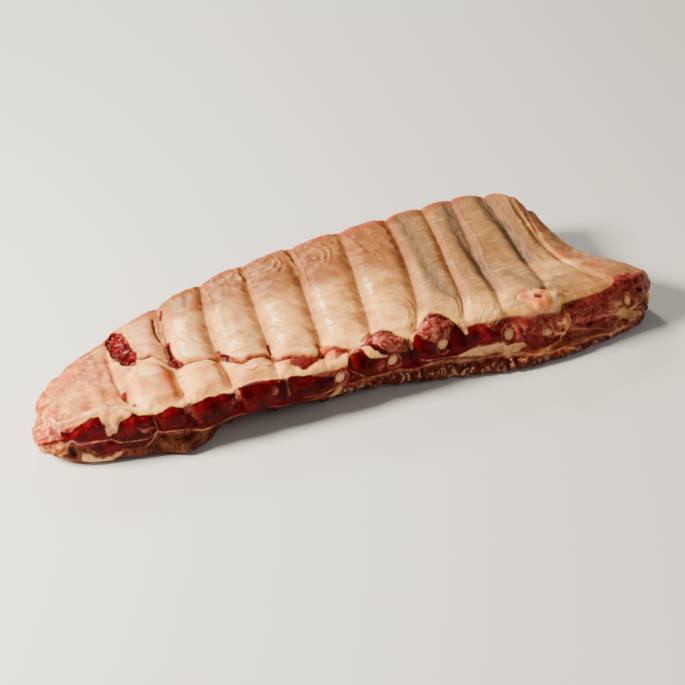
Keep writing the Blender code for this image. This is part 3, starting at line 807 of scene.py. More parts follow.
def cut_direction(place, share):
    """The way that a cut runs in plan beside a rib's end. The near cut has share 0, the far one 1."""
    ends = []
    for beside in (place - 0.05, place + 0.05):
        ends.append(in_plan(beside, np.array([share * width_at(beside)]))[0])
    return level_direction(ends[1] - ends[0])


step_along = np.gradient(P, axis=0)
step_round = np.roll(P, -1, axis=1) - np.roll(P, 1, axis=1)
normals = np.cross(step_along, step_round)
normals /= np.linalg.norm(normals, axis=2, keepdims=True) + TINY
if normals[300, NEAR_ROWS + 40, 2] < 0:
    normals = -normals

end_off = {}
for rib in range(RIB_COUNT):
    path = rib_path(rib, 8)
    along = level_direction(path[1] - path[0])
    end = path[0] - along * near_cut_reach(RIBS[rib][0], path[0][2])
    end_off[rib] = np.linalg.norm(HALF_ROUGH - end, axis=-1)
end_rings_off = np.full(U.shape, FAR_OFF)
for rib, radius in SHOWN_ENDS:
    end_rings_off = np.minimum(end_rings_off, np.abs(end_off[rib] - radius - 1.2))
    open_share = ease((radius + 1.3 - end_off[rib]) / 1.4)
    fold = hill(end_off[rib] - radius - 1.8, 1.6)
    near_it = ease((radius + 5 - end_off[rib]) / 3)
    push = push * (1 - 0.6 * near_it) + fold
    push = push * (1 - open_share) - 0.4 * open_share

floor_fade = ease((P[..., 2] - 0.2) / 2.0)
P += normals * (push * floor_fade)[..., None]

# A sawn rib end lies bare in the far cut, so the flesh stands a little behind it there.
for rib in range(RIB_COUNT):
    path = rib_path(rib, 26)
    outward = level_direction(path[-1] - path[-2])
    end = path[-1] + outward * far_cut_reach(RIBS[rib][1], path[-1][2])
    apart_from = P - end
    depth = apart_from @ outward
    beside = apart_from @ np.array([outward[1], -outward[0], 0.0])
    round_end = np.hypot(beside / (RIBS[rib][2] / 2), apart_from[..., 2] / (BONE_HEIGHT / 2))
    sunk = ease((1.3 - round_end) / 0.25) * (np.abs(depth) < 8) * (S > TOP_END - 4)
    P -= outward * (np.maximum(depth + 0.4, 0) * sunk)[..., None]


# What lies where on the skin. Each is a signed distance in mm, positive inside, or a share from 0 to 1.


def strokes(*lines):
    """Inside of thick lines. Each is its marks, or a distance from a line, and then its half width."""
    found = []
    for *marks, half in lines:
        found.append(half - (off(*marks) if len(marks) > 1 else marks[0]))
    return np.maximum.reduce(found)


def spots(*rounds):
    """Inside of round spots: each a rib coordinate, a distance round and a radius."""
    return np.maximum.reduce([
        radius - np.linalg.norm(HALF_ROUGH - at(place, distance), axis=-1) for place, distance, radius in rounds
    ])


red_spots = np.maximum(
    strokes(
        ((2.06, 100), (2.02, 91), 1.2),
        ((2.05, 64), (2.03, 55), (2.06, 43), 2.0),
        ((2.04, 44), (2.12, 35), 3.0),
        ((3.02, 43), (3.05, 36), 1.2),
        ((3.05, 36), (3.12, 31), 2.2),
        ((3.14, 30), (3.3, 25), 0.9),
        ((3.98, 19.5), (4.12, 19), (4.32, 17.5), 1.0),
        ((0.3, -1.5), (0.42, -3.5), (0.6, -5), 1.6),
        ((3.98, 37), (3.96, 26), 1.2),
        ((1.0, 21), (0.98, 17), 1.7),
        ((1.03, 11), (1.02, 8.5), 1.0),
    ),
    spots((0.78, 8.2, 0.7), (0.92, 8.4, 0.8), (0.92, 5, 0.7), (0.12, 16.5, 0.8)),
)
wedge = inside(
    (4.3, 18), (4.54, 16.4), (4.82, 12.4), (4.88, 9.5), (4.68, 7), (4.54, 4.7), (4.44, 6), (4.28, 12.8),
)
cream_end = inside((9.64, -12.6), (9.86, -13.1), (10.08, -17.1), (10.16, -19.7), (9.92, -18.8), (9.74, -15.5))

# Towards the shoulder, film and fat lie mixed above the seam of the near cut.
mixed_cut = np.minimum(np.minimum((U - 8.9) * 12, (11.5 - U) * 12), np.minimum(-8 - S, S - seam - 0.5))
film = np.maximum.reduce([
    seventh_film, sixth_film, fifth_mix, third_film, tail_brown, brown_band, under_mound, pit_crumbs,
    1.5 - end_rings_off, np.minimum(salmon + 0.6, 3.0 * (U - 5.2) / 0.1 + stray),
    strokes(
        ((2.0, 0), (2.06, -6), (2.18, -12), 1.6),
        ((3.02, 3), (3.04, -6), 1.1),
        ((4.12, 2), (4.2, -10), 1.0),
        ((1.2, -2), (1.24, -7), (1.3, -13), 0.7),
        ((10.5, -26), (10.9, -28.5), 2.0),
        ((11.86, -4), (11.94, -10), (11.9, -16), 1.4),
    ),
    spots((1.98, -3, 3.0), (2.92, -5, 2.8), (3.88, -4, 3.0), (5.24, -6.6, 3.8), (6.1, -7.4, 3.0),
          (6.46, -8.5, 5.6), (7.54, -6.7, 5.8), (9.13, -11.5, 6.4)),
    np.minimum(mixed_cut, 6.0 * grain(P + 151, (10.0, 10.0, 5.0)) - 0.6),
])
fat = np.maximum.reduce([
    pads[1] + 0.5, pads[2] + 0.5, pads[3] + 0.2, tongue + 0.3, tail_fat - 1.0, end_fat - 1.2,
    sixth_wedge - 0.7, mound + 0.5, cream_end + 0.4,
    inside((9.2, 3), (9.3, -1), (9.5, -3.5), (9.74, -4.5), (9.95, -5.5), (10.14, -5), (10.24, -1),
           (10.2, 3)) + 0.5,
    inside((7.8, -18.1), (8.2, -16.2), (8.52, -16.2), (8.84, -16), (9.08, -20.5), (9.04, -24), (8.54, -24),
           (8.22, -23), (7.86, -22)),
    inside((5.0, -23), (5.16, -18.6), (5.32, -13), (5.32, -19.7), (5.14, -26)) - 0.3,
    strokes(
        (tail_ridge, 2.6),
        ((6.72, 8), (6.84, 4), (6.88, 0), 1.3),
        ((7.05, 7.4), (7.12, 4), (7.16, 1.6), 1.2),
        ((7.86, 3), (7.94, -1), (8.0, -4), 1.3),
        ((8.1, 4), (8.2, 8), (8.34, 11), 2.6),
        ((2.02, 0), (2.06, -5), 0.6),
        ((11.3, -20), (11.6, -24), 1.6),
    ),
    np.minimum(mixed_cut, 6.0 * grain(P + 157, (12.0, 12.0, 4.0)) - 1.4),
])
lean = np.maximum.reduce([
    np.minimum(np.minimum(blocks, 0.3 - fat), 0.3 - film), red_spots, wedge, pit - 0.3, red_cap, eighth_block,
    seventh_dark, seventh_cap, np.minimum(deep_patch, -0.5 - cream_end), mixed_patch, under_mound - 2.0,
    strokes(
        (end_strand, 1.2),
        ((9.22, -5.1), (9.28, -10.7), (9.2, -17.2), (9.06, -18.7), 1.1),
        ((9.05, -3.5), (9.3, -3.5), 1.2),
        ((10.98, -14.5), (11.08, -17.2), 0.8),
        ((10.86, -15), (10.94, -18), 0.7),
        ((11.84, -14), (11.8, -20), 1.6),
    ),
])

# Pale threads of fat between the muscles, on the tail and beside the creases, and two pale marks on the mound that
# are painted light.
seam_half = np.interp(
    U, (4.6, 5.2, 6.8, 7.8, 9.0, 9.5, 10.0, 10.9, 11.3, 12), (0.1, 0.3, 0.5, 1.2, 1.1, 0.8, 1.6, 2.0, 0.4, 0.2),
)
seam_off = np.abs(S - seam) + 0.6 * (1 - np.clip(seam_half + 0.5 * stray, -0.4, 1.0)) + 9 * (1 - layered)
pale = strokes(
    (seam_off, 0.7),
    ((0.34, -8.4), (0.42, -7.2), (0.5, -12), (0.56, -10.7), (0.68, -11.4), 0.6),
    ((0.68, -11.4), (0.78, -12.8), (0.86, -14.2), (0.96, -14.9), (1.1, -15.4), (1.3, -13.6), 0.35),
    ((1.3, -13.6), (1.14, -18.5), (1.04, -21.8), 0.2),
    ((1.3, -13.6), (1.68, -14.4), (2.18, -18.4), (2.62, -18.8), (3.1, -20), (3.66, -19), (4.24, -22), 0.4),
    ((4.24, -22), (4.6, -22), (5.0, -19), 0.4),
    ((4.5, -12), (4.8, -13.4), (5.1, -12.5), 0.3),
    ((2.98, 5), (3.0, -4), 0.5),
    ((6.8, 8), (6.86, 1), (6.9, -4.5), 0.8),
    ((7.92, -1), (7.98, -5), 0.6),
    (streak, 0.9),
    ((0.66, 7.5), (0.78, 9), (0.92, 8.4), (1.0, 6.5), 1.7),
    ((0.56, 15), (0.6, 10), (0.62, 7), 1.0),
    ((0.24, 21.9), (0.14, 11.6), (0.06, 4.6), (0.04, -1.2), 0.6),
    ((0.26, 4), (0.27, -2), 0.4),
    ((10.42, -11.2), (10.42, -15.9), 0.7),
    ((10.6, -11), (10.59, -15.7), 0.4),
    ((10.5, -15.2), (10.64, -12.8), 0.4),
    ((10.7, -16.4), (10.98, -18.4), (11.16, -16), 0.7),
    ((10.84, -13.5), (10.98, -16.0), (11.1, -15), (11.02, -12.6), 0.5),
    ((10.3, -20), (10.6, -25), (10.86, -28), 0.5),
    ((11.97, -9), (11.98, -13), (11.96, -20), 0.7),
    ((7.1, -13), (7.5, -18), (7.9, -21), 0.4),
    ((8.0, -21), (8.5, -19.5), (8.9, -19), 0.5),
    ((8.3, -27), (8.7, -25.6), (9.1, -26.4), 0.4),
    ((5.66, -15), (5.76, -13.2), (5.96, -15.6), 0.4),
    ((5.5, -6), (5.7, -10), (5.8, -14), 0.3),
    # Painted light: a highlight beside the mound's hole, then the mound's lower side painted lighter where it
    # faces away from the key light.
    ((9.64, 6.6), (9.7, 6.2), 0.9),
    ((9.98, 6), (10.08, 3), (10.12, -3.5), 2.9),
    ((9.62, 9.4), (9.74, 9.8), 1.6),
    *((fibre, 0.55) for fibre in fan_fibres),
    *((cord, 0.0) for cord in cords),
)
pale = np.maximum(pale, np.minimum(pit_crumbs, 0.3 + 1.3 * stray))

# Thin red lines in the creases and along folds. The dark marks that follow are mostly painted shade, near black at
# the bottom of the slits, holes, hollows, a fold and the groove under the membrane's edge; the rest are dark spots
# of tissue.
no_edge = 9 * (has_edge <= 0.5)
red = np.maximum.reduce([
    (0.7 + 0.5 * stray + 0.7 * ease((U - 3.0) / 0.6) - edge) * (has_edge > 0.5) - no_edge,
    strokes(
        (long_crease, 0.6), (far_fold, 0.9), (hole, 1.5),
        ((2.06, 86), (2.02, 70), (2.04, 60), 0.5),
        ((4.92, 23), (4.9, 15), (4.88, 11), 0.8),
        ((4.9, 23.5), (5.1, 19.2), (5.3, 13.4), (5.5, 8), 0.5),
        ((5.2, 15), (5.36, 10), (5.5, 5), 1.1),
        ((5.04, 14), (5.2, 11), (5.38, 9), 0.4),
        ((5.74, 11), (5.84, 15), (5.98, 18), (6.24, 15.6), (6.48, 9.6), 0.7),
        ((6.96, 8), (7.08, 13), (7.24, 17), (7.42, 15), (7.64, 9), 0.6),
        ((6.92, 145), (6.9, 134), 0.8),
        ((6.92, 126), (6.9, 114), (7.16, 111), 0.1),
        ((9.5, 12), (9.62, 12.6), 0.6),
        ((9.3, 10.4), (9.36, 10.8), 0.7),
        ((11.02, 15), (11.04, 9), 0.6),
        ((9.86, 7.6), (10.02, 8.2), (10.14, 6), 0.4),
        ((9.76, 12.9), (9.86, 11.6), 0.6),
        ((5.5, 3.4), (5.5, -0.5), (5.54, -3.6), 0.7),
        ((3.3, 15.5), (3.5, 12.5), (3.66, 15), (3.84, 13.5), 0.7),
        ((3.06, 8), (3.1, 3), (3.04, -3), 0.35),
        ((9.46, 11.4), (9.6, 12.9), (9.78, 13.2), (9.98, 11.8), 0.35),
        ((10.06, 9.5), (10.22, 7), 0.5),
    ),
])
# Painted shade in slits, holes, hollows and grooves, with some dark spots of tissue.
dark = np.maximum.reduce([
    (0.35 + 0.4 * stray - edge) * (has_edge > 0.5) - no_edge,
    strokes(
        (seventh_slit, 0.8), (sixth_slit, 0.6), (hole, 0.9),
        ((5.48, 3.2), (5.5, -3.6), 0.5),
        ((2.05, 62), (2.03, 46), 1.1),
        ((2.05, 42), (2.1, 37), 1.4),
        ((1.9, 86), (1.9, 79), 0.5),
        ((3.06, 36), (3.12, 31), 1.2),
        ((3.98, 32), (3.96, 27), 0.8),
        ((4.9, 17), (4.88, 12), 0.5),
        ((9.42, -16), (9.5, -22), 0.7),
    ),
    tail_hole - 2.4 + 2.0 * stray,
    spots((3.03, 6, 0.8), (3.09, 2.5, 1.0), (3.17, 5, 0.6), (3.2, 1.5, 0.9), (3.32, 4.5, 0.6), (3.38, 7, 0.5),
          (2.06, 26, 0.7), (2.1, 18, 0.6), (4.36, 9, 0.6), (4.3, 4, 0.7), (11.56, -3.8, 1.3), (11.6, -5.4, 1.3),
          (10.62, -21, 2.6), (10.42, -17.5, 1.2)),
])
orange = np.maximum.reduce([
    strokes(
        (vein, 1.0), (mound_edge, 0.5),
        ((11.24, -13.7), (11.52, -18), (11.66, -22), 1.2),
        ((10.1, -33.5), (10.3, -34), 1.5),
        ((9.3, -31), (9.42, -33), 1.0),
    ),
    tip + 2.2, spots((0.05, 20, 2.2), (0.08, 23.9, 1.6), (9.05, -26.5, 1.2)),
])

# The far cut and the underside: lean with film and fat, a thread of fat, then the lean below.
far_side = S - TOP_END
far_wave = grain(P + 101, 13) + 0.5 * stray
far_low = 11.0 + 2.6 * grain(P + 113, 16) + 0.8 * stray
far_fat = np.minimum(far_side - 1.0, 20.0 - far_side)
far_lean = np.minimum(far_side - 3.0 - 1.6 * far_wave, far_low - far_side) - 2.6 * hill(creases, 1.6)
lean = np.maximum(lean, far_lean)
fat = np.maximum(fat, np.minimum(far_fat, 5.0 * grain(P + 127, (11.0, 11.0, 5.0)) - 1.6))
film = np.maximum(film, np.minimum(far_fat, 5.0 * grain(P + 131, (9.0, 9.0, 4.0)) - 1.4))
pale = np.maximum(pale, np.minimum(far_fat, 0.5 + 0.8 * stray - np.abs(far_side - far_low - 1.2)))
underside = ease((far_side - 15) / 3)
off_far_cut = 1 - ease((far_side - 1.0) / 3)

# Brown muscle that shows through the membrane on the right part of each band, and the sunken strips. These also
# carry painted shade: the bands are painted darker on their sides away from the key light, in their creases and
# towards the far edge, the strips darker than their muscle alone, and a brown band lies beside the last strip.
strip_shade = np.maximum.reduce([strength * hill(strip, 7.0) for strip, strength in strips])
strip_shade = strip_shade * (1 - 0.6 * ease((62 - S) / 26) * hill(U - 9.1, 0.3))
fibre_shade = 0.5 + 0.5 * grain(SLANT + 5, (15.0, 4.0, 1.0))
brown_side = off((11.6, 100), (11.48, 80), (11.36, 60), (11.3, 40), (11.3, 28))
muscle_and_shade = np.maximum.reduce([
    muscle * (0.42 + 0.35 * fibre_shade) * ease((S - 14) / 22),
    in_bands * ease((7.5 - U) / 0.5) * ease((S - 72) / 32) * (0.5 + fibre_shade),
    0.75 * hill(creases, 4.0) * in_bands * ease((S - 22) / 12),
    0.55 * hill(brown_side, 6.0) * ease(0.6 + stray),
])

# Where blood tints the membrane and the fat.
far_pink = hill(U - 1.75, 0.35) * ease((S - 74) / 16)
blush = (0.25 + 0.75 * off_far_cut) * np.maximum.reduce([
    0.85 * ease((7.5 + 3.5 * hill(U - 6.6, 1.2) + 3.0 * stray - skin_end) / 5) * between(3.9, 0.6, 9.9, 0.8),
    0.5 * ease((11 + 3 * stray - skin_end) / 8),
    0.6 * ease((1.9 - U) / 0.9) * on_top * ease(0.5 + 0.8 * stray),
    0.65 * far_pink * ease(0.9 + 0.6 * stray) * on_top,
    0.85 * ease(pads[0] / 3) * ease((U - 1.4) / 0.4),
    0.5 * ease(pads[0] / 3) * ease(0.3 + stray),
    0.75 * on_top * ease((1.3 - U) / 0.25) * ease((S - 24) / 14) * ease(0.8 + 0.6 * stray),
    0.5 * ease((5 - pads[2]) / 4) * ease(pads[2] + 1) * ease((S - 6) / 6),
    ease(salmon + 1),
    0.9 * ease(sixth_cap + 0.5),
    0.75 * ease((0.45 - U) / 0.4) * ease(0.8 + stray),
    0.45 * hill(beyond - 1.5, 3.0) * (beyond > 0) * has_edge,
    0.5 * hill(away(11.0, 7), 12),
    0.6 * ease((U - 10.9) / 0.3) * on_top * ease(0.7 + stray),
    0.85 * ease(mound / 2) * ease((10.1 - U) / 0.3) * ease(1.0 + stray),
    0.3 * hill(pink_cords[0], 1.2) * ease(0.9 + stray),
    0.25 * hill(pink_cords[1], 1.2) * ease(0.9 + stray),
    0.35 * hill(last_strip, 1.5) * ease(0.8 + stray),
])

# Where water lies on the membrane and the fat, so that they shine there.
wet = np.maximum.reduce([
    hill(PHASE - 0.24, 0.2) * ease((S - 24) / 12) * ease((94 - S) / 18) * between(2.05, 0.1, 6.9, 0.3),
    *(share * hill(away(place, distance), size) for place, distance, size, share in (
        (2.35, 18, 8, 0.8), (1.3, 24, 9, 0.7), (0.86, 8, 6, 1.0), (3.6, 16, 5, 0.4), (1.6, 62, 8, 0.3),
        (8.2, 20, 8, 0.6), (8.4, 7, 6, 0.6), (9.55, 8, 5, 0.4), (11.5, 2, 4, 0.6),
    )),
    0.2 * tail * on_top,
]) * (1 - 0.9 * ease((red_spots + 2.0) / 2))

# Painted shade: the membrane is painted a darker brown towards the far edge, beside the seventh crease and towards
# the shoulder, where it turns from the key light; two spots near the near rim are darkened the same way.
dim_tone_and_shade = off_far_cut * np.maximum.reduce([
    (0.6 + 0.25 * ease((U - 4.2) / 0.6)) * ease((S - 74) / 24) * between(1.9, 0.3, 7.4, 0.6),
    0.4 * hill(U - 1.65, 0.45) * ease((S - 62) / 20),
    0.75 * ease((S - 54) / 18) * hill(U - 6.55, 0.42) * ease(0.8 + stray),
    0.8 * ease((16 - skin_end) / 6) * between(6.0, 0.6, 9.8, 0.5),
    0.5 * between(7.6, 0.4, 10.9, 0.4) * ease((S - 40) / 30),
    0.4 * between(7.1, 0.3, 9.3, 0.2) * ease((S - 12) / 14),
])
dim_tone_and_shade = np.maximum.reduce([dim_tone_and_shade, 0.45 * hill(away(4.35, 8), 9) * on_top, 0.35 * hill(away(9.3, 9), 9) * on_top])

# Towards the shoulder the membrane is darker and browner, partly its own tone and partly painted shade away from
# the key light at the left; three places on it are kept lighter as painted light.
right = on_top * np.maximum(ease((U - 6.2) / 1.4) * (0.5 + 0.5 * ease((S - 6) / 42)), ease((U - 8.7) / 1.0))
right = right - 0.6 * hill(away(10.75, 45), 20) - 0.5 * hill(away(10.85, 12), 15) - 0.8 * hill(away(8.5, 4), 11)

# Lean that is worn and lighter, at the shoulder end and in spots on the bone side.
worn_cap = 0.15 + 0.3 * ease((U - 11.2) / 0.2) + 0.5 * ease((-3 - S) / 4)
worn = ease((U - 10.1) / 0.5) * ease((S + 20) / 4) * worn_cap + 0.45 * ease((U - 9.0) / 0.1)
worn = np.maximum(worn, 0.3 * ease((S - 3) / 5) * ease(1 - pit) * off_far_cut)

DRAWN = {"lean": lean, "fat": fat, "film": film, "pale": pale, "red": red, "dark": dark, "orange": orange}
SHARES = {
    "strip": strip_shade,
    "muscle": muscle_and_shade,
    "blush": blush,
    "right": right,
    "lower": layered * ease((seam - 1.0 - S) / 1.5) * (1 - underside),
    "under": underside,
    "tail": tail * (1 - ease(-S / 4)) * (0.55 + 0.45 * ease((0.62 - U) / 0.3)),
    "late": ease((U - 7.9) / 0.6),
    "side": (1 - layered) * ease((lean_low - S) / 2.5),
    "cut": ease(-S / 2.0) + ease((far_side - 1) / 2),
    "granular": 0.8 * ease(sixth_film) + 0.6 * ease(pit) + 0.8 * ease(seventh_film),
    "worn": worn,
    "wet": wet,
    "dim_tone_and_shade": dim_tone_and_shade,
}
DRAWN_LIMIT = 6
MASKS = {name: np.clip(mask, -DRAWN_LIMIT, DRAWN_LIMIT) for name, mask in DRAWN.items()}
MASKS.update({name: np.clip(mask, 0, 1) for name, mask in SHARES.items()})


# The ends are rounded over and closed: more sections, drawn in towards the slab's middle line.


def drawn_in(ring, amount, share):
    """An end's points drawn in by an amount in mm, then by a share of what is left of their height."""
    top = ring[NEAR_ROWS:NEAR_ROWS + TOP_ROWS]
    under = np.vstack([ring[NEAR_ROWS + TOP_ROWS + FAR_ROWS:], ring[:1]])[::-1]
    axis = top[-1, :2] - top[0, :2]
    length = np.linalg.norm(axis)
    axis /= length
    along = (ring[:, :2] - top[0, :2]) @ axis
    top_z = np.interp(along, (top[:, :2] - top[0, :2]) @ axis, top[:, 2])
    under_along = (under[:, :2] - top[0, :2]) @ axis
    order = np.argsort(under_along)
    under_z = np.interp(along, under_along[order], under[order, 2])
    middle, half = (top_z + under_z) / 2, (top_z - under_z) / 2
    reach = (along.max() - along.min()) / 2
    centre = (along.max() + along.min()) / 2
    moved = ring.copy()
    slide = (centre - along) * amount / reach
    moved[:, :2] += slide[:, None] * axis
    moved[:, 2] = middle + (ring[:, 2] - middle) * (1 - amount / half) * (1 - share)
    return moved


def end_rings(ring, outward, radius, flat_rings, roughness):
    """Rings that round an end's edge over, then close in on its middle line."""
    rings = []
    outward = np.array([*outward, 0.0])
    for turn in np.radians([18, 36, 54, 72, 90]):
        rings.append(drawn_in(ring, radius * (1 - math.cos(turn)), 0) + outward * radius * math.sin(turn))
    for number in range(1, flat_rings + 1):
        closing = drawn_in(ring, radius, END_CLOSED * number / flat_rings) + outward * radius
        wave = grain(closing, 7) + 0.5 * grain(closing + 11, 3)
        rings.append(closing + outward * (roughness * wave - roughness)[:, None] * ease(number / 3))
    return np.array(rings)


TAIL_RINGS, SHOULDER_RINGS = 6, 16
END_CLOSED = 0.96
RING_PITCH = np.array([1.2, 0, 0])
tail_end = end_rings(P[0], (-1.0, 0.1), 4.5, TAIL_RINGS, 0.4)[::-1]
shoulder_end = end_rings(P[-1], (0.98, 0.2), 5.0, SHOULDER_RINGS, 0.9)
before, after = len(tail_end), len(shoulder_end)
points = np.concatenate([tail_end, P, shoulder_end])
sheet = np.concatenate([
    np.repeat(SHEET[:1], before, axis=0) - np.arange(before, 0, -1)[:, None, None] * RING_PITCH,
    SHEET,
    np.repeat(SHEET[-1:], after, axis=0) + np.arange(1, after + 1)[:, None, None] * RING_PITCH,
])
for name, mask in MASKS.items():
    ending = np.repeat(mask[-1:], after, axis=0)
    if name == "cut":
        ending = np.ones_like(ending) * ease(np.arange(after) / 5)[:, None]
    MASKS[name] = np.concatenate([np.repeat(mask[:1], before, axis=0), mask, ending])

# The cut at the shoulder end is lean.
end_share = ease((np.arange(after) - 2) / 3)[:, None]
for name, value in (("lean", 3.0), ("lower", 0.4), ("pale", -3.0), ("red", -3.0), ("fat", -3.0)):
    MASKS[name][-after:] = MASKS[name][-after:] * (1 - end_share) + value * end_share

# The solids have their origin under the middle of their box.
low, high = (np.array(corner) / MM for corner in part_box("meat"))
FORM_MIDDLE = np.array([-4.86944984, 0.35094926, 0.0])
BOX_GAP = 0.02     # kept clear of the solid's box
points = np.clip(points - FORM_MIDDLE, low + BOX_GAP, high - BOX_GAP)


def skin_piece(name, grid, mapped, masks):
    """A closed piece from a grid of points: a flat grid rolled into a tube and closed at both ends."""
    rings, rows = grid.shape[:2]
    bpy.ops.object.select_all(action="DESELECT")
    bpy.ops.mesh.primitive_grid_add(x_subdivisions=rows, y_subdivisions=rings - 1, size=1, calc_uvs=True)
    piece = bpy.context.object
    piece.name = name
    piece.data.name = name
    mesh = piece.data
    wrapped = np.concatenate([grid, grid[:, :1]], axis=1)
    mesh.vertices.foreach_set("co", (wrapped * MM).astype(np.float32).ravel())
    around = np.concatenate([mapped, mapped[:, :1]], axis=1)
    around[:, -1, 1] = mapped[:, -1, 1] + 1.0
    corner = np.zeros(len(mesh.loops), dtype=np.int32)
    mesh.loops.foreach_get("vertex_index", corner)
    flat = around.reshape(-1, 3)[corner, :2] * MM
    mesh.uv_layers[0].name = "sheet"
    mesh.uv_layers[0].data.foreach_set("uv", flat.astype(np.float32).ravel())
    for mask, values in masks.items():
        layer = mesh.attributes.new(mask, "FLOAT", "POINT")
        closed = np.concatenate([values, values[:, :1]], axis=1)
        layer.data.foreach_set("value", closed.astype(np.float32).ravel())
    bpy.ops.object.mode_set(mode="EDIT")
    bpy.ops.mesh.select_all(action="SELECT")
    bpy.ops.mesh.remove_doubles(threshold=0.002 * MM)
    bpy.ops.mesh.select_all(action="DESELECT")
    bpy.ops.mesh.select_non_manifold(extend=False, use_wire=False, use_multi_face=False,
                                     use_non_contiguous=False, use_verts=False)
    bpy.ops.mesh.fill(use_beauty=True)
    bpy.ops.mesh.select_all(action="SELECT")
    bpy.ops.mesh.normals_make_consistent(inside=False)
    bpy.ops.object.mode_set(mode="OBJECT")
    bpy.ops.object.shade_smooth()
    return piece


flesh = skin_piece("flesh", points, sheet, MASKS)
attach(flesh, "root")
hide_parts("meat")


# Ribs: rods along the same paths as the solids, with a domed cartilage end and a flat sawn end.
ROD_SIDES, ROD_SECTIONS = 32, 26
GRISTLE_SHARE = 0.35
ROD_PROUD = {5: 0.5, 6: 0.5, 7: 0.5, 9: 0.5, 10: 0.3, 11: 0.5, 2: -0.9, 3: -0.9, 4: -0.9}
COVERED = -2.5


def rod(rib):
    """Rings of a rib's rod, and how far each of its points is along the rib and out from its middle."""
    near, far, bone_width, _ = RIBS[rib]
    gristle_width = min(CARTILAGE_WIDTH, bone_width)
    path = rib_path(rib, ROD_SECTIONS)
    last = ROD_SECTIONS - 1
    proud = ROD_PROUD.get(rib, COVERED)
    rings, lengths, cores = [], [], []

    def ring_at(i, share, out):
        point = path[i]
        along = level_direction(path[min(i + 1, last)] - path[max(i - 1, 0)])
        side = np.array([along[1], -along[0], 0.0])
        slanted = side
        if i == 0:
            slanted = cut_direction(near, 0)
        if i == last:
            slanted = cut_direction(far, 1)
        side = slanted / (slanted @ side)
        turned = ease(i / last / GRISTLE_SHARE)
        width = gristle_width + (bone_width - gristle_width) * turned
        height = CARTILAGE_HEIGHT + (BONE_HEIGHT - CARTILAGE_HEIGHT) * turned
        turn = np.linspace(0, 2 * math.pi, ROD_SIDES, endpoint=False)
        ring = point + side * (share * width / 2 * np.cos(turn))[:, None]
        ring[:, 2] += share * height / 2 * np.sin(turn)
        if i == 0:
            ring -= along * (near_cut_reach(near, ring[:, 2]) + out)[:, None]
        if i == last:
            ring += along * (far_cut_reach(far, ring[:, 2]) + out)[:, None]
        return ring

    for share in (0.04, 0.2, 0.35, 0.5, 0.65, 0.8, 0.92):
        rings.append(ring_at(0, share, proud - 1.3 * share ** 2.5))
        lengths.append(0.0)
        cores.append(1 - share)
    for i in range(ROD_SECTIONS):
        out = proud - 1.5 if i == 0 else -0.2
        rings.append(ring_at(i, 1.0, out))
        lengths.append(i / last)
        cores.append(0.0)
    for share in (0.95, 0.8, 0.62, 0.45, 0.28, 0.12, 0.04):
        rings.append(ring_at(last, share, 0.3 - 0.3 * (1 - share)))
        lengths.append(1.0)
        cores.append(1 - share)
    grid = np.array(rings)
    shape = grid.shape[:2]
    lengths = np.repeat(np.array(lengths)[:, None], ROD_SIDES, axis=1)
    cores = np.repeat(np.array(cores)[:, None], ROD_SIDES, axis=1)
    round_share = np.linspace(0, 40, ROD_SIDES, endpoint=False)
    mapped = np.zeros((*shape, 3))
    mapped[..., 0] = lengths * 130
    mapped[..., 1] = round_share
    return grid, mapped, {"core": cores, "length": lengths}


rods = []
for rib in range(RIB_COUNT):
    grid, mapped, shares = rod(rib)
    piece = skin_piece(f"rib_{rib + 1:02d}_rod", grid - FORM_MIDDLE, mapped, shares)
    node = f"rib_{rib + 1:02d}"
    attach(piece, "root")
    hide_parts(node)
    rods.append(piece)


# Materials. Colours are what the eye sees, as sRGB, turned to linear by one function.


def colour(hex_text):
    """An sRGB hex colour as linear values."""
    values = [int(hex_text[i:i + 2], 16) / 255 for i in (1, 3, 5)]
    linear = [v / 12.92 if v <= 0.04045 else ((v + 0.055) / 1.055) ** 2.4 for v in values]
    return (*linear, 1.0)


def join(tree, node, links):
    """Gives a node's inputs their values, or links them to sockets of other nodes."""
    for name, value in links.items():
        if isinstance(value, bpy.types.NodeSocket):
            tree.links.new(value, node.inputs[name])
        else:
            node.inputs[name].default_value = value


def add(tree, kind, settings=None, links=None, output=0):
    """Adds a node with its settings and links, and gives back one of its outputs."""
    made = tree.nodes.new(kind)
    for name, value in (settings or {}).items():
        setattr(made, name, value)
    join(tree, made, links or {})
    return made.outputs[output]


def new_material(name):
    """A new material with its node tree and its shader."""
    made = bpy.data.materials.new(name)
    made.use_nodes = True
    return made, made.node_tree, made.node_tree.nodes["Principled BSDF"]


def skin_fields(tree, patterns, masks, wobbles):
    """Sockets by name, for the patterns and the masks. A mask with a wobble wanders by that pattern's mm."""
    fields = {}
    maps = {
        "place": add(tree, "ShaderNodeTexCoord", output="Object"),
        "sheet": add(tree, "ShaderNodeUVMap", {"uv_map": "sheet"}),
    }
    for name, mapped, size, detail, roughness, distortion, stretch, turned in patterns:
        vector = maps[mapped]
        if stretch:
            turn = (0.0, 0.0, turned)
            vector = add(tree, "ShaderNodeMapping", None, {"Vector": vector, "Scale": stretch, "Rotation": turn})
        fields[name] = add(tree, "ShaderNodeTexNoise", None, {
            "Vector": vector, "Scale": 1 / (size * MM), "Detail": detail, "Roughness": roughness,
            "Distortion": distortion,
        })
    for name in masks:
        fields[name] = add(tree, "ShaderNodeAttribute", {"attribute_name": name}, output="Fac")
    for name, (pattern, mm) in wobbles.items():
        links = {0: fields[pattern], 1: mm, 2: -mm / 2}
        wobble = add(tree, "ShaderNodeMath", {"operation": "MULTIPLY_ADD"}, links)
        fields[name] = add(tree, "ShaderNodeMath", {"operation": "ADD"}, {0: fields[name], 1: wobble})
    return fields


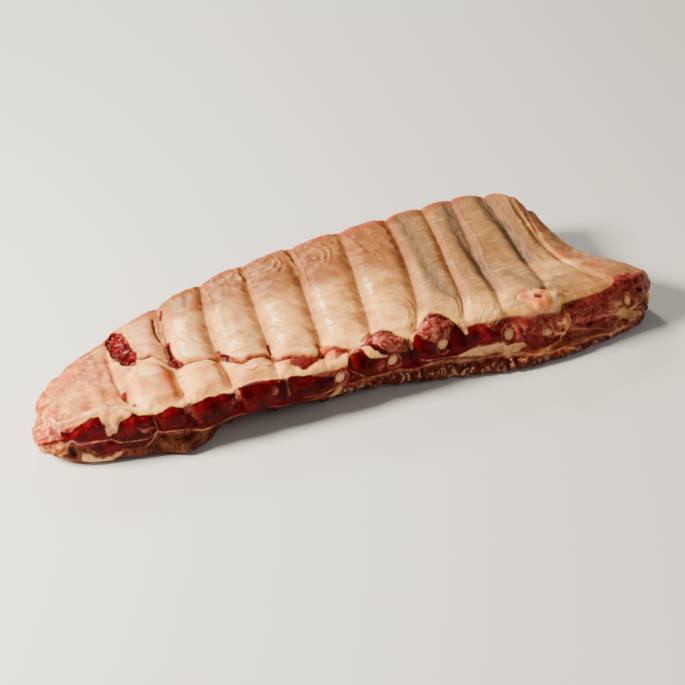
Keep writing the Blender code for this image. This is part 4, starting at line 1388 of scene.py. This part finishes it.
def share_of(tree, fields, *parts):
    """The product of parts. A part is a number, the name of a field, or a field with two ends between which
    it steps smoothly from 0 to 1, or from one given share to another."""
    total = None
    for part in parts:
        field, *ends = part if isinstance(part, tuple) else (part,)
        share = fields[field] if isinstance(field, str) else field
        if ends:
            links = dict(zip(("Value", "From Min", "From Max", "To Min", "To Max"), (share, *ends)))
            share = add(tree, "ShaderNodeMapRange", {"interpolation_type": "SMOOTHSTEP"}, links)
        if total is not None:
            share = add(tree, "ShaderNodeMath", {"operation": "MULTIPLY"}, {0: total, 1: share})
        total = share
    return total


def over(tree, fields, below, above, *parts):
    """One colour over another by the product of parts. A colour is an sRGB hex or a socket."""
    below, above = (colour(tone) if isinstance(tone, str) else tone for tone in (below, above))
    links = {0: share_of(tree, fields, *parts), 6: below, 7: above}
    return add(tree, "ShaderNodeMix", {"data_type": "RGBA"}, links, 2)


PORK_PATTERNS = (
    # name, which map, size of its lumps in mm, detail, roughness, distortion, stretch and turn of the map
    ("broad", "place", 24.0, 2.0, 0.5, 0.0, None, 0),
    ("middle", "place", 8.0, 4.0, 0.6, 0.0, None, 0),
    ("fine", "place", 2.4, 3.0, 0.6, 0.0, None, 0),
    ("tiny", "place", 1.1, 2.0, 0.6, 0.0, None, 0),
    ("torn", "place", 5.0, 5.0, 0.7, 0.0, None, 0),
    ("crumbled", "place", 6.0, 5.0, 0.72, 0.0, None, 0),
    ("specks", "place", 2.8, 5.0, 0.78, 0.0, None, 0),
    ("ragged", "place", 5.0, 4.0, 0.65, 0.0, None, 0),
    ("streaked", "place", 3.4, 3.0, 0.6, 0.0, None, 0),
    ("filmy", "place", 5.0, 4.0, 0.6, 0.0, None, 0),
    ("deep", "place", 9.0, 3.0, 0.5, 0.0, None, 0),
    ("fresh", "place", 6.0, 3.0, 0.5, 0.0, None, 0),
    ("broken", "place", 7.0, 3.0, 0.6, 0.0, None, 0),
    ("aslant", "sheet", 4.0, 3.0, 0.55, 0.3, (0.24, 1.0, 1.0), FIBRE_TURN),
    ("drawn", "sheet", 9.0, 4.0, 0.65, 0.6, (0.45, 1.0, 1.0), FIBRE_TURN),
    ("strands", "sheet", 1.8, 3.0, 0.6, 0.3, (1.0, 0.16, 1.0), 0),
    ("upright", "place", 1.5, 3.0, 0.6, 0.5, (1.0, 1.0, 0.3), 0),
    ("chunks", "place", 3.2, 4.0, 0.65, 0.5, (1.0, 1.0, 0.45), 0),
    ("marbling", "place", 6.0, 5.0, 0.72, 0.8, (1.0, 1.0, 0.5), 0),
    ("sinew", "place", 8.0, 4.0, 0.65, 1.2, (0.3, 1.0, 1.0), 0.3),
    ("covered", "place", 46.0, 6.0, 0.62, 0.8, (0.5, 1.0, 1.0), 0.3),
)
PORK_WOBBLES = {
    "fat": ("torn", 5.0), "film": ("fine", 1.6), "lean": ("fine", 1.6), "orange": ("fine", 1.6),
    "pale": ("tiny", 1.0), "red": ("tiny", 1.0), "dark": ("tiny", 1.0),
}


def raw_pork():
    """Raw pork: lean that is wet and dark red, cream fat, and a tan membrane over the ribs. Its surface
    water gives small sharp highlights over a soft, slightly see-through body."""
    made, tree, shader = new_material("raw pork")
    fields = skin_fields(tree, PORK_PATTERNS, MASKS, PORK_WOBBLES)
    paint = partial(over, tree, fields)

    # The membrane: bright tan at the tail, darker towards the shoulder partly as painted shade, with muscle that
    # shows through it and painted shade in its creases and towards its far edge.
    bright = paint("#DC9556", "#FCBE6E", ("middle", 0.3, 0.56))
    bright = paint(bright, "#CC8557", ("broad", 0.54, 0.72), 0.6)
    shoulder_tone_and_shade = paint("#946C44", "#B38C5B", ("middle", 0.35, 0.65))
    shoulder_tone_and_shade = paint(shoulder_tone_and_shade, "#86593A", ("broad", 0.5, 0.7), 0.55)
    # Towards the shoulder the membrane turns a darker tan that is partly painted shade.
    body = paint(bright, shoulder_tone_and_shade, "right")
    body = paint(body, "#F9CC92", ("aslant", 0.54, 0.72), 0.5)
    body = paint(body, "#BE7E54", ("drawn", 0.5, 0.7), 0.62)
    muscle_and_shade_colour = paint("#86522F", "#A66D44", ("middle", 0.35, 0.65))
    # The muscle mask paints shade as well as muscle: darker on the bands' sides away from the key light, in the
    # creases and towards the far edge.
    body = paint(body, muscle_and_shade_colour, "muscle", ("aslant", 0.3, 0.62, 0.75, 1.0))
    # Painted shade towards the far edge and the shoulder.
    body = paint(body, "#7E4A2E", "dim_tone_and_shade", ("middle", 0.3, 0.65, 0.45, 0.8))
    strip_colour = paint("#58463A", "#7C6350", ("strands", 0.4, 0.62))
    # The strips are painted darker partly as shade in their hollows.
    body = paint(body, strip_colour, "strip", ("middle", 0.3, 0.6, 0.55, 1.0))
    speckled = paint("#8A3A26", "#CC8A4A", ("crumbled", 0.42, 0.56))
    speckled = paint(speckled, "#6A1E16", ("specks", 0.5, 0.58))
    body = paint(body, speckled, "tail", 0.92)

    # The ground of the cuts, the layer below the seam, the underside and the low tail side.
    cut_fat = paint("#7C3229", "#A65E45", ("middle", 0.42, 0.66))
    cut_fat = paint(cut_fat, "#641A13", ("ragged", 0.45, 0.58))
    body = paint(body, cut_fat, "cut")
    lower_colour = paint("#3A0E0B", "#6C2820", ("middle", 0.38, 0.62))
    lower_colour = paint(lower_colour, "#340D0A", "late", 0.5)
    lower_colour = paint(lower_colour, "#BE8A72", ("chunks", 0.5, 0.62), ("late", 0.0, 1.0, 0.85, 0.4))
    body = paint(body, lower_colour, "lower")
    under_colour = paint("#5A1214", "#86302B", ("broad", 0.4, 0.6))
    under_colour = paint(under_colour, "#BF8462", ("sinew", 0.56, 0.66, 0.0, 0.8))
    under_fat = paint("#C98E66", "#E8BE90", ("middle", 0.36, 0.62))
    under_colour = paint(under_colour, under_fat, ("covered", 0.51, 0.57, 0.0, 0.92))
    body = paint(body, under_colour, "under")
    side_colour = paint("#42150E", "#6E3A27", ("middle", 0.36, 0.6))
    side_colour = paint(side_colour, "#300A07", ("upright", 0.5, 0.64, 0.0, 0.8))
    body = paint(body, side_colour, "side")

    # Fat, pink where blood tints it, and film.
    cream = paint("#D8914A", "#F8B66C", ("middle", 0.35, 0.6))
    cream = paint(cream, "#C4784E", ("fine", 0.6, 0.74, 0.0, 0.6))
    cut_cream = paint("#BC835A", "#DDAA7C", ("middle", 0.38, 0.62))
    cut_cream = paint(cut_cream, "#93462F", ("streaked", 0.56, 0.72, 0.0, 0.8))
    cream = paint(cream, cut_cream, "cut")
    body = paint(body, cream, ("fat", -0.8, 0.8))
    body = paint(body, "#AC4A2E", "blush", ("middle", 0.3, 0.62, 0.55, 1.0))
    film_colour = paint("#6A1A16", "#A25446", ("filmy", 0.38, 0.64))
    film_colour = paint(film_colour, "#C8886A", ("fine", 0.56, 0.74, 0.0, 0.4))
    body = paint(body, film_colour, ("film", -1.1, 1.1))

    # Lean: deep red, fresher towards the shoulder, lighter where it is worn.
    deep = paint("#340305", "#5C0610", ("deep", 0.34, 0.66))
    fresh = paint("#500610", "#78161D", ("fresh", 0.36, 0.64))
    worn_colour = paint("#6A191A", "#A2463F", ("ragged", 0.36, 0.64))
    lean_colour = paint(deep, fresh, "late")
    lean_colour = paint(lean_colour, worn_colour, "worn")
    lean_colour = paint(lean_colour, "#8A2422", ("upright", 0.54, 0.72), 0.3)
    lean_colour = paint(lean_colour, "#AA5E4A", ("marbling", 0.6, 0.7), 0.36)
    body = paint(body, lean_colour, ("lean", -0.7, 0.7))
    body = paint(body, "#C4847A", "granular", ("fine", 0.54, 0.66), 0.65)

    # Lines on top: orange fat, pale threads with two painted light marks on the mound, red folds, and dark marks
    # that are mostly painted shade in slits, holes and grooves.
    orange_colour = paint("#8E401E", "#DC9A58", ("middle", 0.42, 0.6))
    body = paint(body, orange_colour, ("orange", -0.9, 1.1), 0.75)
    pale_colour = paint("#EDBE8C", "#CD9470", "cut")
    body = paint(body, pale_colour, ("pale", -0.6, 0.6), ("broken", 0.4, 0.58, 0.2, 0.85))
    body = paint(body, "#742017", ("red", -0.6, 0.6), 0.8)
    # Near black: painted shade in the slits and holes.
    body = paint(body, "#240302", ("dark", -0.5, 0.5), 0.92)

    # The water on it: thin all over, in puddles where the mask says so, and hardly any on lean and strips.
    roughness = add(tree, "ShaderNodeMath", {"operation": "MULTIPLY_ADD"}, {
        0: fields["strip"], 1: 0.3, 2: share_of(tree, fields, ("middle", 0.35, 0.65, 0.28, 0.42)),
    })
    bare = add(tree, "ShaderNodeMath", {"operation": "MAXIMUM"}, {
        0: share_of(tree, fields, ("lean", -0.7, 0.7)), 1: share_of(tree, fields, ("dark", -0.5, 0.5)),
    })
    puddles = add(tree, "ShaderNodeMath", {"operation": "MULTIPLY_ADD"}, {
        0: share_of(tree, fields, "wet", ("middle", 0.35, 0.6, 0.5, 1.0)), 1: 0.38, 2: 0.04,
    })
    water = add(tree, "ShaderNodeMath", {"operation": "MAXIMUM"}, {
        0: share_of(tree, fields, puddles, (bare, 0.0, 1.0, 1.0, 0.35)), 1: share_of(tree, fields, bare, 0.03),
    })

    height = 0.0
    for name, share in (("middle", 0.4), ("aslant", 0.6), ("fine", 0.2)):
        height = add(tree, "ShaderNodeMath", {"operation": "MULTIPLY_ADD"}, {0: fields[name], 1: share, 2: height})
    join(tree, shader, {
        "Base Color": body,
        "Roughness": roughness,
        "IOR": 1.38,
        "Specular IOR Level": 0.05,
        "Subsurface Weight": 0.25,
        "Subsurface Radius": (1.0, 0.35, 0.2),
        "Subsurface Scale": 0.003,
        "Coat Weight": share_of(tree, fields, water, ("strip", 0.1, 0.7, 1.0, 0.15)),
        "Coat Roughness": 0.16,
        "Normal": add(tree, "ShaderNodeBump", None, {"Height": height, "Strength": 0.9, "Distance": 0.0009}),
    })
    return made


RIB_PATTERNS = (
    ("mottled", "place", 3.0, 3.0, 0.6, 0.0, None, 0),
    ("pores", "place", 1.0, 2.0, 0.6, 0.0, None, 0),
)


def bone_and_cartilage():
    """A rib: cream cartilage with a pink ring at the breastbone cut, and at the sawn end a pale rim of
    hard bone round red-brown marrow. Moist and smooth."""
    made, tree, shader = new_material("rib bone and cartilage")
    fields = skin_fields(tree, RIB_PATTERNS, ("core", "length"), {"core": ("mottled", 0.4)})
    paint = partial(over, tree, fields)
    cartilage = paint("#9C4634", "#CB936A", ("core", 0.38, 0.58))
    cartilage = paint(cartilage, "#DDB084", ("core", 0.6, 0.85, 0.0, 0.7))
    cartilage = paint(cartilage, "#A5604A", ("pores", 0.58, 0.7, 0.0, 0.6))
    marrow = paint("#5E1C14", "#A05A40", ("pores", 0.38, 0.62))
    marrow = paint(marrow, "#B88462", ("mottled", 0.52, 0.66, 0.0, 0.7))
    hard = paint("#A8805C", "#CBA682", ("mottled", 0.38, 0.6))
    sawn = paint(hard, marrow, ("core", 0.12, 0.3))
    bump = {"Height": fields["mottled"], "Strength": 0.4, "Distance": 0.0004}
    join(tree, shader, {
        "Base Color": paint(cartilage, sawn, ("length", 0.5, 0.6)),
        "Roughness": 0.34,
        "IOR": 1.4,
        "Specular IOR Level": 0.15,
        "Coat Weight": 0.16,
        "Coat Roughness": 0.05,
        "Subsurface Weight": 0.2,
        "Subsurface Radius": (1.0, 0.5, 0.3),
        "Subsurface Scale": 0.002,
        "Normal": add(tree, "ShaderNodeBump", None, bump),
    })
    return made


def plain(name, hex_text, roughness):
    """A plain material of one colour for the stage."""
    made, tree, shader = new_material(name)
    join(tree, shader, {"Base Color": colour(hex_text), "Roughness": roughness})
    return made


def set_material(piece, material):
    """Gives a piece this material and no other."""
    piece.data.materials.clear()
    piece.data.materials.append(material)


set_material(flesh, raw_pork())
bone = bone_and_cartilage()
for piece in rods:
    set_material(piece, bone)


# Stage, light and camera.

bpy.ops.object.select_all(action="DESELECT")
bpy.ops.mesh.primitive_plane_add(size=12.0, location=(0, 0, 0))
floor = bpy.context.object
floor.name = "floor"
set_material(floor, plain("pale studio floor", "#DFE3E8", 0.7))


def area_light(name, place, target, size, power, tint):
    """A round soft light that looks at its target."""
    data = bpy.data.lights.new(name, "AREA")
    data.shape = "DISK"
    data.size = size
    data.energy = power
    data.color = tint
    lamp = bpy.data.objects.new(name, data)
    bpy.context.collection.objects.link(lamp)
    lamp.location = place
    lamp.rotation_euler = (Vector(place) - Vector(target)).to_track_quat("Z", "Y").to_euler()
    return lamp


area_light("key light", (-0.95, 0.14, 0.62), (0, 0, 0), 0.35, 58, (1.0, 0.87, 0.67))
area_light("back light", (0.18, 1.08, 0.7), (0, 0, 0), 0.26, 11, (1.0, 0.88, 0.7))
area_light("fill light", (0.5, -0.9, 0.9), (0, 0, 0), 0.8, 2, (1.0, 0.92, 0.8))
world = bpy.data.worlds.new("studio")
world.use_nodes = True
world.node_tree.nodes["Background"].inputs["Color"].default_value = (0.95, 0.92, 0.88, 1)
world.node_tree.nodes["Background"].inputs["Strength"].default_value = 0.15
bpy.context.scene.world = world

# The camera looks down at 33 degrees from 25 degrees left of the near cut.
CAMERA_AWAY = 1.05
camera_data = bpy.data.cameras.new("camera")
camera_data.lens = 85
camera_data.sensor_width = 36
camera = bpy.data.objects.new("camera", camera_data)
bpy.context.collection.objects.link(camera)
turn, tilt = math.radians(-25), math.radians(33)
back = Vector((math.sin(turn) * math.cos(tilt), -math.cos(turn) * math.cos(tilt), math.sin(tilt)))
target = Vector((-FORM_MIDDLE[0] * MM, -FORM_MIDDLE[1] * MM, 0))
camera.location = target + back * CAMERA_AWAY
camera.rotation_euler = back.to_track_quat("Z", "Y").to_euler()
bpy.context.scene.camera = camera
